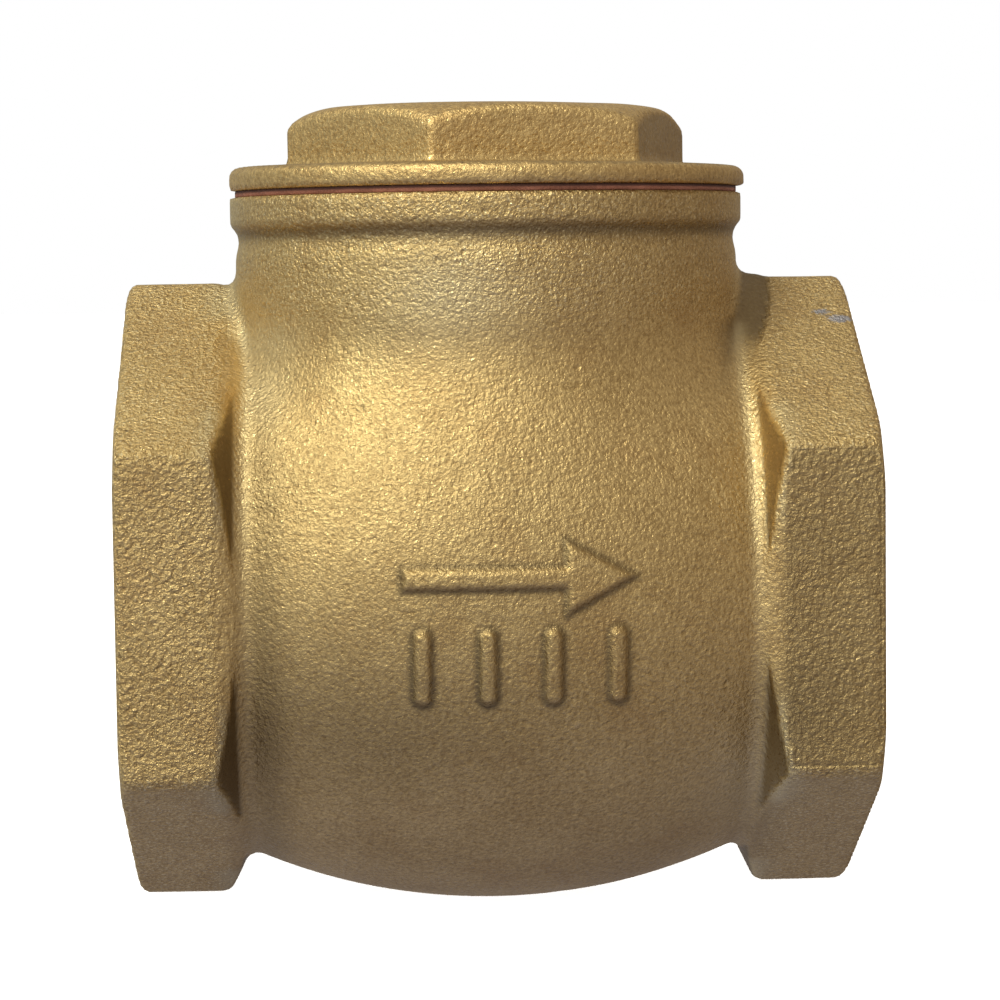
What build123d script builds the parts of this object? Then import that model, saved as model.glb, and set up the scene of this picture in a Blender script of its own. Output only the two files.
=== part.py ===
from build123d import *
import math
import os

# Swing check valve, three inch, screwed ends, screwed cap. Millimetres.
# Frame: origin at the centre of the inlet mouth, +X the way the water flows, +Z up to the cap.

# ---- body, outside ----
BODY_LENGTH = 133.0
MID_X = BODY_LENGTH / 2
HEX_ACROSS_FLATS = 100.0
HEX_EDGE_RADIUS = 4.1
HEX_EDGE_LENGTH = 17.0
SHOULDER_FOOT_X = 20.0
SHOULDER_FOOT_RADIUS = 50.9
SHOULDER_TOP_RADIUS = 57.2
END_BEVEL = 1.2
END_FACE_RADIUS = 54.5
BELLY_RADIUS = 58.1
BELLY_CURVE = 110.0
BELLY_HALF_LENGTH = 50.0
NECK_RADIUS = 46.5
NECK_TOP_Z = 66.2
COLLAR_RADIUS = 47.4
COLLAR_FOOT_Z = 67.2
COLLAR_TOP_Z = 72.7
COLLAR_EDGE = 0.5

# ---- body, inside ----
WALL = 5.5
PIPE_THREAD_RADIUS = 42.463
PIPE_THREAD_LENGTH = 18.0
MOUTH_CHAMFER = 1.0
CAP_THREAD_RADIUS = 42.0
CAP_THREAD_CLEARANCE = 0.06
CAP_THREAD_DEPTH = 10.5
NECK_BORE_RADIUS = 42.3
NECK_BORE_FLOOR_Z = 30.0

# ---- seat ----
SEAT_X = 29.5
SEAT_TILT = 7.0
SEAT_BORE_RADIUS = 35.0
SEAT_RING_RADIUS = 38.2
SEAT_RING_HEIGHT = 2.0
SEAT_BORE_REACH = 16.0

# ---- hinge ----
PIN_ABOVE_SEAT = 48.0
PIN_BEHIND_SEAT = 13.5
PIN_RADIUS = 4.0
PIN_HOLE_CLEARANCE = 0.03
PIN_FRONT_Y = -27.2
PIN_REAR_Y = 31.0
PIN_CHAMFER = 0.5
PIN_HOLE_FRONT_Y = -27.6
LUG_RADIUS = 8.5
LUG_INNER_Y = 17.2
HUB_RADIUS = 7.0
HUB_HALF_LENGTH = 16.5
HUB_BORE_CLEARANCE = 0.08
OPEN_ANGLE = 58.0

# ---- side plug, rear of the neck ----
BOSS_RADIUS = 10.5
BOSS_FACE_Y = 42.0
PLUG_RADIUS = 6.0
PLUG_HOLE_CLEARANCE = 0.05
PLUG_HOLE_FLOOR_Y = 31.5
PLUG_TIP_Y = 32.0
PLUG_ACROSS_FLATS = 17.0
PLUG_HEAD_HEIGHT = 6.0
PLUG_WASHER_RADIUS = 9.2
PLUG_WASHER_THICKNESS = 1.2
PLUG_EDGE = 0.6

# ---- hinge arm ----
ARM_FRONT_N = 9.0
ARM_BACK_N = 15.0
ARM_BOSS_BACK_N = 16.0
ARM_BOSS_RADIUS = 12.5
ARM_TOP_HALF_WIDTH = 15.0
ARM_LOW_HALF_WIDTH = 9.0
ARM_BORE_CLEARANCE = 0.08
FINGER_HALF_WIDTH = 5.0
FINGER_LOW = 1.0
FINGER_HIGH = 6.8
FINGER_GAP = 0.35

# ---- disc and what it carries ----
DISC_RADIUS = 38.5
DISC_RIM_N = 1.0
DISC_BACK_N = 6.5
DISC_HUB_RADIUS = 13.0
DISC_HUB_N = 8.7
DISC_EDGE = 0.8
STUD_RADIUS = 7.0
STUD_END_N = 28.5
STUD_CHAMFER = 1.0
FACING_RADIUS = 37.2
FACING_FRONT_N = 0.15
FACING_THICKNESS = 3.5
FACING_CLEARANCE = 0.1
PLATE_RADIUS = 30.0
PLATE_THICKNESS = 2.5
PLATE_EDGE = 0.6
SCREW_RADIUS = 4.0
SCREW_CLEARANCE = 0.05
SCREW_REACH_N = 15.0
SCREW_HOLE_N = 17.0
SCREW_ACROSS_FLATS = 13.0
SCREW_HEAD_HEIGHT = 5.3
HEX_HEAD_EDGE = 0.8
WASHER_RADIUS = 12.2
WASHER_FRONT_N = 16.3
WASHER_THICKNESS = 2.0
WASHER_CLEARANCE = 0.25
NUT_ACROSS_FLATS = 22.0
NUT_HEIGHT = 9.0
NUT_CLEARANCE = 0.03
NUT_SLOT_WIDTH = 3.4
NUT_SLOT_DEPTH = 3.2
NUT_SLOTS = 3
COTTER_RADIUS = 1.4
COTTER_HOLE_RADIUS = 1.6
COTTER_HALF_LENGTH = 13.0
COTTER_EYE_RADIUS = 2.4
COTTER_EYE_WIRE = 1.0

# ---- cap and gasket ----
GASKET_THICKNESS = 1.25
GASKET_RADIUS = 46.6
GASKET_BORE_RADIUS = 42.4
GASKET_GAP = 0.02
CAP_FLANGE_Z = COLLAR_TOP_Z + GASKET_THICKNESS
CAP_FLANGE_RADIUS = 47.7
CAP_FLANGE_THICKNESS = 3.95
CAP_FLANGE_EDGE = 1.4
CAP_TOP_Z = 89.0
CAP_ACROSS_FLATS = 66.0
CAP_HEX_TURN = 12.0
CAP_CHAMFER_RADIUS = 32.0
CAP_CHAMFER_ANGLE = 30.0
CAP_SPIGOT_Z = 64.0
CAP_RELIEF_RADIUS = 41.0
CAP_RELIEF_HEIGHT = 1.2
CAP_HOLLOW_RADIUS = 36.0
CAP_HOLLOW_Z = 75.0
CAP_DOME_RADIUS = 24.0
CAP_DOME_Z = 82.5
CAP_THREAD_EDGE = 0.8

# ---- raised flow mark on the front of the body ----
MARK_HEIGHT = 0.9
MARK_LEFT = -17.5
MARK_RIGHT = 23.0
ARROW_MID_Z = 7.0
ARROW_HALF_HEIGHT = 6.6
ARROW_STEM_HALF = 2.0
ARROW_HEAD_LENGTH = 12.5
BAR_COUNT = 4
BAR_LOW_Z = -15.0
BAR_HIGH_Z = -1.4
BAR_WIDTH = 3.4
BAR_SPACING = 11.2
MARK_REACH = 20.0


# ---- derived ----
TILT = math.radians(SEAT_TILT)
PIN_X = SEAT_X - PIN_ABOVE_SEAT * math.sin(TILT) + PIN_BEHIND_SEAT * math.cos(TILT)
PIN_Z = PIN_ABOVE_SEAT * math.cos(TILT) + PIN_BEHIND_SEAT * math.sin(TILT)
ALONG_X = Axis((0, 0, 0), (1, 0, 0))
NECK_AXIS = Axis((MID_X, 0, 0), (0, 0, 1))
# seat frame: local x is row Y, local y is up along the seat, local z is downstream off the seat
SEAT = Plane(
    origin=(SEAT_X, 0, 0),
    x_dir=(0, 1, 0),
    z_dir=(math.cos(TILT), 0, math.sin(TILT)),
)


def belly_radius(x, wall=0.0):
    """Radius of the barrel's arc at x, measured from its middle, less the wall."""
    sagitta = BELLY_CURVE - math.sqrt(BELLY_CURVE**2 - x**2)
    return BELLY_RADIUS - sagitta - wall


def barrel(wall, half_length):
    """Bulged barrel about the pipe axis."""
    low, high = MID_X - half_length, MID_X + half_length
    edge = belly_radius(half_length, wall)
    crown = ThreePointArc((low, edge), (MID_X, BELLY_RADIUS - wall), (high, edge))
    sides = Polyline((high, edge), (high, 0), (low, 0), (low, edge))
    return revolve(Plane.XZ * make_face(crown + sides), ALONG_X)


def turned(points, axis):
    """Solid of revolution from (distance along X, height along Z) points."""
    return revolve(Plane.XZ * make_face(Polyline(*points, close=True)), axis)


def rod(radius, low, high):
    """Cylinder along local Z between two heights."""
    return Pos(0, 0, low) * extrude(Circle(radius), high - low)


def ring(outer, inner, low, high):
    """Flat ring along local Z between two heights."""
    return rod(outer, low, high) - rod(inner, low, high)


def rod_y(radius, low, high, x=PIN_X, z=PIN_Z):
    """Cylinder along row Y."""
    return Pos(x, low, z) * Rot(-90, 0, 0) * extrude(Circle(radius), high - low)


def hexagon(across_flats, low, high, turn=0.0):
    """Hexagonal prism along local Z, flats facing local X when turn is zero."""
    outline = Rot(0, 0, 30) * RegularPolygon(across_flats / 2, 6, major_radius=False)
    return Pos(0, 0, low) * Rot(0, 0, turn) * extrude(outline, high - low)


def hex_end():
    """Inlet hexagon with rounded ridges, ridges up and down, and a turned inner shoulder."""
    outline = RegularPolygon(HEX_ACROSS_FLATS / 2, 6, major_radius=False)
    outline = fillet(outline.vertices(), HEX_EDGE_RADIUS)
    outline = Rot(0, 0, 30) * outline
    prism = Plane.YZ * extrude(outline, SHOULDER_FOOT_X + BELLY_HALF_LENGTH)
    flat = HEX_ACROSS_FLATS / 2
    corner = flat / math.cos(math.pi / 6)
    slope = (SHOULDER_TOP_RADIUS - SHOULDER_FOOT_RADIUS) / (SHOULDER_FOOT_X - HEX_EDGE_LENGTH)
    inner_x = SHOULDER_FOOT_X + (SHOULDER_FOOT_RADIUS - flat + WALL) / slope
    envelope = turned(
        [
            (0, 0),
            (0, END_FACE_RADIUS),
            (END_BEVEL, corner),
            (HEX_EDGE_LENGTH, corner),
            (HEX_EDGE_LENGTH, SHOULDER_TOP_RADIUS),
            (inner_x, flat - WALL),
            (inner_x, 0),
        ],
        ALONG_X,
    )
    return prism & envelope


def neck():
    """Round neck with its collar."""
    profile = [
        (MID_X, 0),
        (MID_X + NECK_RADIUS, 0),
        (MID_X + NECK_RADIUS, NECK_TOP_Z),
        (MID_X + COLLAR_RADIUS, COLLAR_FOOT_Z),
        (MID_X + COLLAR_RADIUS, COLLAR_TOP_Z - COLLAR_EDGE),
        (MID_X + COLLAR_RADIUS - COLLAR_EDGE, COLLAR_TOP_Z),
        (MID_X, COLLAR_TOP_Z),
    ]
    return turned(profile, NECK_AXIS)


def flow_mark():
    """Raised arrow over a row of plain bars, following the barrel's front."""
    tip = MARK_RIGHT
    head = MARK_RIGHT - ARROW_HEAD_LENGTH
    arrow = Polygon(
        (MARK_LEFT, ARROW_MID_Z - ARROW_STEM_HALF),
        (head, ARROW_MID_Z - ARROW_STEM_HALF),
        (head, ARROW_MID_Z - ARROW_HALF_HEIGHT),
        (tip, ARROW_MID_Z),
        (head, ARROW_MID_Z + ARROW_HALF_HEIGHT),
        (head, ARROW_MID_Z + ARROW_STEM_HALF),
        (MARK_LEFT, ARROW_MID_Z + ARROW_STEM_HALF),
        align=None,
    )
    bar = Rectangle(BAR_WIDTH, BAR_HIGH_Z - BAR_LOW_Z)
    middle = (MARK_LEFT + MARK_RIGHT) / 2
    first = middle - BAR_SPACING * (BAR_COUNT - 1) / 2
    outline = arrow
    for i in range(BAR_COUNT):
        outline += Pos(first + i * BAR_SPACING, (BAR_LOW_Z + BAR_HIGH_Z) / 2) * bar
    block = Plane.XZ.offset(BELLY_RADIUS - MARK_REACH) * extrude(outline, 2 * MARK_REACH)
    return (Pos(MID_X, 0, 0) * block) & barrel(-MARK_HEIGHT, SHOULDER_FOOT_X + MARK_REACH)


def pipe_socket():
    """Space inside the inlet thread, with its mouth chamfer."""
    profile = [
        (-1, 0),
        (-1, PIPE_THREAD_RADIUS + MOUTH_CHAMFER + 1),
        (MOUTH_CHAMFER, PIPE_THREAD_RADIUS),
        (PIPE_THREAD_LENGTH, PIPE_THREAD_RADIUS),
        (PIPE_THREAD_LENGTH, 0),
    ]
    return turned(profile, ALONG_X)


def chamber():
    """Space inside the barrel, ended upstream by the seat's partition."""
    half = BODY_LENGTH - PIPE_THREAD_LENGTH - MID_X
    room = 2 * BODY_LENGTH
    block = Box(room, room, room, align=(Align.CENTER, Align.CENTER, Align.MIN))
    downstream = SEAT * Pos(0, 0, -SEAT_RING_HEIGHT) * block
    return barrel(WALL, half) & downstream


def neck_space():
    """Space inside the neck with the cap's thread bore at its top."""
    thread_floor = COLLAR_TOP_Z - CAP_THREAD_DEPTH
    thread = CAP_THREAD_RADIUS + CAP_THREAD_CLEARANCE
    return Pos(MID_X, 0, 0) * (
        rod(NECK_BORE_RADIUS - 1, NECK_BORE_FLOOR_Z, thread_floor)
        + rod(thread, thread_floor, COLLAR_TOP_Z + 1)
    )


def mirrored_to_outlet(shape):
    """Same feature at the outlet end."""
    return mirror(shape, Plane(origin=(MID_X, 0, 0), z_dir=(1, 0, 0)))


def make_valve_body():
    """Casting: hexagon ends, barrel, neck, seat, hinge lugs and plug boss."""
    outer = barrel(0, BELLY_HALF_LENGTH) + neck() + hex_end() + mirrored_to_outlet(hex_end())
    outer += rod_y(BOSS_RADIUS, LUG_INNER_Y, BOSS_FACE_Y)
    outer += flow_mark()
    body = outer - pipe_socket() - mirrored_to_outlet(pipe_socket())
    body -= chamber()
    body -= neck_space()
    body -= SEAT * rod(SEAT_BORE_RADIUS, -SEAT_BORE_REACH, SEAT_RING_HEIGHT)
    body += SEAT * ring(SEAT_RING_RADIUS, SEAT_BORE_RADIUS, -SEAT_RING_HEIGHT - 1, 0)
    reach = NECK_RADIUS - WALL / 2
    shell = Pos(MID_X, 0, 0) * rod(reach, 0, COLLAR_TOP_Z)
    lugs = rod_y(LUG_RADIUS, -reach, -LUG_INNER_Y) + rod_y(LUG_RADIUS, LUG_INNER_Y, reach)
    body += lugs & shell
    pin_hole = PIN_RADIUS + PIN_HOLE_CLEARANCE
    body -= rod_y(pin_hole, PIN_HOLE_FRONT_Y, BOSS_FACE_Y)
    body -= rod_y(PLUG_RADIUS + PLUG_HOLE_CLEARANCE, PLUG_HOLE_FLOOR_Y, BOSS_FACE_Y + 1)
    return body


def make_hinge_pin():
    pin = rod_y(PIN_RADIUS, PIN_FRONT_Y, PIN_REAR_Y)
    ends = pin.edges().filter_by(GeomType.CIRCLE)
    return chamfer(ends, PIN_CHAMFER)


def make_pin_plug():
    """Hexagon-headed screwed plug behind the hinge pin."""
    head_y = BOSS_FACE_Y + PLUG_WASHER_THICKNESS
    head = hexagon(PLUG_ACROSS_FLATS, 0, PLUG_HEAD_HEIGHT)
    corner = PLUG_ACROSS_FLATS / 2 / math.cos(math.pi / 6)
    cone = Cone(corner + PLUG_HEAD_HEIGHT, corner - PLUG_EDGE, PLUG_HEAD_HEIGHT)
    head = head & (Pos(0, 0, PLUG_HEAD_HEIGHT / 2) * cone)
    head = Pos(PIN_X, head_y, PIN_Z) * Rot(-90, 0, 0) * head
    return head + rod_y(PLUG_RADIUS, PLUG_TIP_Y, head_y)


def make_plug_washer():
    top = BOSS_FACE_Y + PLUG_WASHER_THICKNESS
    bore = PLUG_RADIUS + WASHER_CLEARANCE
    return rod_y(PLUG_WASHER_RADIUS, BOSS_FACE_Y, top) - rod_y(bore, BOSS_FACE_Y, top)


def stop_finger():
    """Finger that meets the neck's wall when the disc is fully open, turned back to rest."""
    wall_x = MID_X - math.sqrt((NECK_BORE_RADIUS - 1) ** 2 - FINGER_HALF_WIDTH**2)
    length = PIN_X - wall_x - FINGER_GAP
    block = Box(length, 2 * FINGER_HALF_WIDTH, FINGER_HIGH - FINGER_LOW)
    block = Pos(-length / 2, 0, (FINGER_LOW + FINGER_HIGH) / 2) * block
    return Pos(PIN_X, 0, PIN_Z) * Rot(0, OPEN_ANGLE, 0) * block


def make_hinge_arm():
    """Hub on the pin, tapered plate and the boss that holds the disc's stud."""
    plate = Polygon(
        (-ARM_TOP_HALF_WIDTH, PIN_ABOVE_SEAT),
        (-ARM_LOW_HALF_WIDTH, 0),
        (ARM_LOW_HALF_WIDTH, 0),
        (ARM_TOP_HALF_WIDTH, PIN_ABOVE_SEAT),
        align=None,
    )
    plate = Pos(0, 0, ARM_FRONT_N) * extrude(plate, ARM_BACK_N - ARM_FRONT_N)
    boss = rod(ARM_BOSS_RADIUS, ARM_FRONT_N, ARM_BOSS_BACK_N)
    arm = SEAT * (plate + boss)
    arm += rod_y(HUB_RADIUS, -HUB_HALF_LENGTH, HUB_HALF_LENGTH)
    arm += stop_finger()
    bore = PIN_RADIUS + HUB_BORE_CLEARANCE
    arm -= rod_y(bore, -HUB_HALF_LENGTH - 1, HUB_HALF_LENGTH + 1)
    arm -= SEAT * rod(STUD_RADIUS + ARM_BORE_CLEARANCE, ARM_FRONT_N - 1, ARM_BOSS_BACK_N + 1)
    return arm


def make_disc():
    """Disc with a recess for the facing, a hub pad and the stud on its back."""
    facing_back = FACING_FRONT_N + FACING_THICKNESS
    disc = rod(DISC_RADIUS, DISC_RIM_N, DISC_BACK_N)
    disc = chamfer(disc.edges().group_by(Axis.Z)[-1], DISC_EDGE)
    stud = rod(STUD_RADIUS, DISC_BACK_N, STUD_END_N)
    stud = chamfer(stud.edges().group_by(Axis.Z)[-1], STUD_CHAMFER)
    disc += rod(DISC_HUB_RADIUS, DISC_BACK_N - 1, DISC_HUB_N) + stud
    disc -= rod(FACING_RADIUS + FACING_CLEARANCE, DISC_RIM_N - 1, facing_back)
    disc -= rod(SCREW_RADIUS + SCREW_CLEARANCE, DISC_RIM_N - 1, SCREW_HOLE_N)
    return SEAT * (disc - cotter_rod(COTTER_HOLE_RADIUS, DISC_HUB_RADIUS))


def cotter_rod(radius, half_length):
    """Cylinder across the stud, along local X, through the nut's slots."""
    height = WASHER_FRONT_N + WASHER_THICKNESS + NUT_HEIGHT - NUT_SLOT_DEPTH / 2
    return Pos(-half_length, 0, height) * Rot(0, 90, 0) * extrude(Circle(radius), 2 * half_length)


def make_disc_facing():
    back = FACING_FRONT_N + FACING_THICKNESS
    return SEAT * ring(FACING_RADIUS, SCREW_RADIUS + WASHER_CLEARANCE, FACING_FRONT_N, back)


def make_facing_plate():
    """Plate that clamps the facing, bevelled on its wet side."""
    front = FACING_FRONT_N - PLATE_THICKNESS
    plate = rod(PLATE_RADIUS, front, FACING_FRONT_N)
    plate = chamfer(plate.edges().group_by(Axis.Z)[0], PLATE_EDGE)
    return SEAT * (plate - rod(SCREW_RADIUS + WASHER_CLEARANCE, front - 1, FACING_FRONT_N + 1))


def make_facing_screw():
    """Hexagon-headed screw that holds plate and facing to the disc."""
    seat_n = FACING_FRONT_N - PLATE_THICKNESS
    head = hexagon(SCREW_ACROSS_FLATS, 0, SCREW_HEAD_HEIGHT)
    corner = SCREW_ACROSS_FLATS / 2 / math.cos(math.pi / 6)
    cone = Cone(corner - HEX_HEAD_EDGE, corner + SCREW_HEAD_HEIGHT, SCREW_HEAD_HEIGHT)
    head = head & (Pos(0, 0, SCREW_HEAD_HEIGHT / 2) * cone)
    head = Pos(0, 0, seat_n - SCREW_HEAD_HEIGHT) * head
    return SEAT * (head + rod(SCREW_RADIUS, seat_n, SCREW_REACH_N))


def make_disc_washer():
    top = WASHER_FRONT_N + WASHER_THICKNESS
    return SEAT * ring(WASHER_RADIUS, STUD_RADIUS + WASHER_CLEARANCE, WASHER_FRONT_N, top)


def make_disc_nut():
    """Slotted nut on the stud."""
    low = WASHER_FRONT_N + WASHER_THICKNESS
    high = low + NUT_HEIGHT
    nut = hexagon(NUT_ACROSS_FLATS, low, high)
    corner = NUT_ACROSS_FLATS / 2 / math.cos(math.pi / 6)
    cone = Cone(corner + NUT_HEIGHT, corner - HEX_HEAD_EDGE, NUT_HEIGHT)
    nut = nut & (Pos(0, 0, (low + high) / 2) * cone)
    nut -= rod(STUD_RADIUS + NUT_CLEARANCE, low - 1, high + 1)
    slot = Box(2 * NUT_ACROSS_FLATS, NUT_SLOT_WIDTH, 2 * NUT_SLOT_DEPTH)
    for i in range(NUT_SLOTS):
        nut -= Pos(0, 0, high) * Rot(0, 0, i * 180 / NUT_SLOTS) * slot
    return SEAT * nut


def make_split_pin():
    """Split pin through stud and nut, with its eye at the front."""
    height = WASHER_FRONT_N + WASHER_THICKNESS + NUT_HEIGHT - NUT_SLOT_DEPTH / 2
    shank = cotter_rod(COTTER_RADIUS, COTTER_HALF_LENGTH)
    eye_x = -COTTER_HALF_LENGTH - COTTER_EYE_RADIUS
    eye = Pos(eye_x, 0, height) * Torus(COTTER_EYE_RADIUS, COTTER_EYE_WIRE)
    return SEAT * (shank + eye)


def make_bonnet_gasket():
    low = COLLAR_TOP_Z + GASKET_GAP
    high = CAP_FLANGE_Z - GASKET_GAP
    return Pos(MID_X, 0, 0) * ring(GASKET_RADIUS, GASKET_BORE_RADIUS, low, high)


def make_bonnet():
    """Screwed cap: threaded skirt, round flange, bevelled hexagon, hollow inside."""
    flange_top = CAP_FLANGE_Z + CAP_FLANGE_THICKNESS
    edge = CAP_FLANGE_EDGE
    turned_part = turned(
        [
            (MID_X, CAP_SPIGOT_Z),
            (MID_X + CAP_THREAD_RADIUS - CAP_THREAD_EDGE, CAP_SPIGOT_Z),
            (MID_X + CAP_THREAD_RADIUS, CAP_SPIGOT_Z + CAP_THREAD_EDGE),
            (MID_X + CAP_THREAD_RADIUS, CAP_FLANGE_Z - CAP_RELIEF_HEIGHT),
            (MID_X + CAP_RELIEF_RADIUS, CAP_FLANGE_Z - CAP_RELIEF_HEIGHT),
            (MID_X + CAP_RELIEF_RADIUS, CAP_FLANGE_Z),
            (MID_X + CAP_FLANGE_RADIUS, CAP_FLANGE_Z),
            (MID_X + CAP_FLANGE_RADIUS, flange_top - edge),
            (MID_X + CAP_FLANGE_RADIUS - edge, flange_top),
            (MID_X, flange_top),
        ],
        NECK_AXIS,
    )
    # a flat of the hexagon faces the front, turned a little towards the outlet
    head = hexagon(CAP_ACROSS_FLATS, flange_top - 1, CAP_TOP_Z, -90 + CAP_HEX_TURN)
    reach = CAP_ACROSS_FLATS
    drop = (reach - CAP_CHAMFER_RADIUS) * math.tan(math.radians(CAP_CHAMFER_ANGLE))
    bevel = turned(
        [
            (MID_X, flange_top - 1),
            (MID_X + reach, flange_top - 1),
            (MID_X + reach, CAP_TOP_Z - drop),
            (MID_X + CAP_CHAMFER_RADIUS, CAP_TOP_Z),
            (MID_X, CAP_TOP_Z),
        ],
        NECK_AXIS,
    )
    cap = turned_part + ((Pos(MID_X, 0, 0) * head) & bevel)
    hollow = turned(
        [
            (MID_X, CAP_SPIGOT_Z - 1),
            (MID_X + CAP_HOLLOW_RADIUS, CAP_SPIGOT_Z - 1),
            (MID_X + CAP_HOLLOW_RADIUS, CAP_FLANGE_Z - CAP_RELIEF_HEIGHT),
            (MID_X + CAP_DOME_RADIUS, CAP_HOLLOW_Z + CAP_RELIEF_HEIGHT),
            (MID_X + CAP_DOME_RADIUS, CAP_DOME_Z),
            (MID_X, CAP_DOME_Z),
        ],
        NECK_AXIS,
    )
    return cap - hollow


PIECES = {
    "valve_body": make_valve_body,
    "hinge_pin": make_hinge_pin,
    "pin_plug": make_pin_plug,
    "plug_washer": make_plug_washer,
    "hinge_arm": make_hinge_arm,
    "disc": make_disc,
    "disc_facing": make_disc_facing,
    "facing_plate": make_facing_plate,
    "facing_screw": make_facing_screw,
    "disc_washer": make_disc_washer,
    "disc_nut": make_disc_nut,
    "split_pin": make_split_pin,
    "bonnet_gasket": make_bonnet_gasket,
    "bonnet": make_bonnet,
}

os.makedirs("parts", exist_ok=True)
for name, make in PIECES.items():
    export_step(make(), f"parts/{name}.step")
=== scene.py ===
import math

import bmesh
import bpy
import numpy as np
from mathutils import Matrix, Vector


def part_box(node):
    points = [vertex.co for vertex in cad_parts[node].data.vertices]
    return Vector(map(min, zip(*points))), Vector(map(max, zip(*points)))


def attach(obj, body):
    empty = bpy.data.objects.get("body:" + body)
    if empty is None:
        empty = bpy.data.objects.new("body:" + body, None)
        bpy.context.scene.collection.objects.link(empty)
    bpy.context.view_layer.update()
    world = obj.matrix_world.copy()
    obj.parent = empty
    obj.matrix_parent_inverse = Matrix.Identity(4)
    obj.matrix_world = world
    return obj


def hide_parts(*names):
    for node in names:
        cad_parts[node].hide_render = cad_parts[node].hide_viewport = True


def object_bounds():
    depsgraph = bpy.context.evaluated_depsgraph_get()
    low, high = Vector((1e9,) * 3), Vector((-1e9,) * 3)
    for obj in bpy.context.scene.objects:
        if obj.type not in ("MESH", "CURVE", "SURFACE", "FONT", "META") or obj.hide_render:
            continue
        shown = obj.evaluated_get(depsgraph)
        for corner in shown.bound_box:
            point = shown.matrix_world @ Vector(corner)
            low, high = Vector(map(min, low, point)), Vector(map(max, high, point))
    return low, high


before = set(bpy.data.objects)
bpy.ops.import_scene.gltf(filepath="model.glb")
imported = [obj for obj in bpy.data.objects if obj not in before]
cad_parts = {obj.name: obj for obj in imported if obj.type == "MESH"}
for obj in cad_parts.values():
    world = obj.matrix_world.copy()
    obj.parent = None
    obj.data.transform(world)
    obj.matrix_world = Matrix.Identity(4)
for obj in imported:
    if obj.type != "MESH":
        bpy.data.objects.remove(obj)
cad_low, cad_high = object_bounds()

# ---- Sizes in millimetres: inlet mouth at x = 0, pipe axis on X, cap on +Z ----
MM = 0.001


def node_box(name):
    """Lowest and highest corner of a CAD node, in millimetres."""
    low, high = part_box(name)
    return np.array(low) / MM, np.array(high) / MM


def add_object(name, data):
    """New object in the scene."""
    made = bpy.data.objects.new(name, data)
    bpy.context.scene.collection.objects.link(made)
    return made


def grown_box(name, margin):
    """Box of a CAD node with a margin all round."""
    low, high = node_box(name)
    return low - margin, high + margin


body_low, body_high = node_box("valve_body")
cap_low, cap_high = node_box("bonnet")
gasket_low, gasket_high = node_box("bonnet_gasket")
LENGTH = body_high[0]
MID = LENGTH / 2
BELLY = 58.1
BELLY_CURVE = 110.0
HEX_HALF = 50.0
HEX_ROUND = 4.1
# cones that bevel the hexagons: a point on each, from the end and from the axis, and its normal
END_FACE_R = 54.9
END_BEVEL_NORMAL = (-0.936, 0.351)
SHOULDER_X, SHOULDER_R = 17.0, 57.2
SHOULDER_NORMAL = (0.9027, 0.4299)
BARREL_FROM_END = 6.0
END_FILLET = 2.4
NECK_R = 46.5
# radius of the fillet at the neck's foot, on each side and in front
INLET_FOOT = 5.0
OUTLET_FOOT = 6.7
FRONT_FOOT = 8.5
COLLAR_R = 47.4
COLLAR_STEP_Z = 66.7
COLLAR_TOP = body_high[2]
WALL = 5.5
THREAD_PITCH = 2.309
THREAD_MINOR, THREAD_MAJOR = 42.463, 43.942
THREAD_DEPTH = 18.0
SOCKET_R = 44.25
SEAT_X = 29.5
TILT = math.radians(7.0)
SEAT_ORIGIN = np.array([SEAT_X, 0.0, 0.0])
SEAT_NORMAL = np.array([math.cos(TILT), 0.0, math.sin(TILT)])
SEAT_UP = np.array([-math.sin(TILT), 0.0, math.cos(TILT)])
SEAT_BORE = 35.0
SEAT_RING = 38.2
SEAT_STEP = 2.0
SEAT_REACH = 16.0
PIN_UP, PIN_BACK = 48.0, 13.5
PIN = SEAT_ORIGIN + PIN_UP * SEAT_UP + PIN_BACK * SEAT_NORMAL
LUG_R = 8.5
LUG_INNER = 17.2
BOSS_R = 10.5
BOSS_FACE = 42.0
BOSS_ROOT = 20.0
NECK_BORE = 41.3
NECK_FLOOR = 30.0
CAP_THREAD_FLOOR = 62.2
CAP_SOCKET_R = 42.6
GASKET_BORE = 42.4


# ---- Distance fields: a shape is a function from points (n, 3) to distance, inside < 0 ----
def join(a, b, fillet):
    """Union with a round fillet of that radius in the corner."""
    u = np.maximum(fillet - a, 0.0)
    v = np.maximum(fillet - b, 0.0)
    return np.maximum(fillet, np.minimum(a, b)) - np.sqrt(u * u + v * v)


def both(a, b, edge):
    """Intersection with its edge rounded to that radius."""
    return -join(-a, -b, edge)


def cut(a, b, edge):
    """a without b, with the rim rounded."""
    return both(a, -b, edge)


def smooth_step(t):
    """Smooth rise from 0 to 1 as t does."""
    t = np.clip(t, 0.0, 1.0)
    return t * t * (3.0 - 2.0 * t)


def ramp(value, start, run):
    """Smooth rise from 0 to 1 as a value goes from start to start + run; run may be negative."""
    return smooth_step((value - start) / run)


def hump(value, centre, reach):
    """Bell-shaped bump of height 1 about a centre."""
    return np.exp(-(((value - centre) / reach) ** 2))


def seat_frame(p):
    """Points in the seat's frame: across, up along the seat, off the seat."""
    q = p - SEAT_ORIGIN
    return q[:, 1], q @ SEAT_UP, q @ SEAT_NORMAL


def barrel_skin(dx, r):
    """Distance to the barrel, whose side is an arc."""
    return np.hypot(dx, r + BELLY_CURVE - BELLY) - BELLY_CURVE


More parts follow.
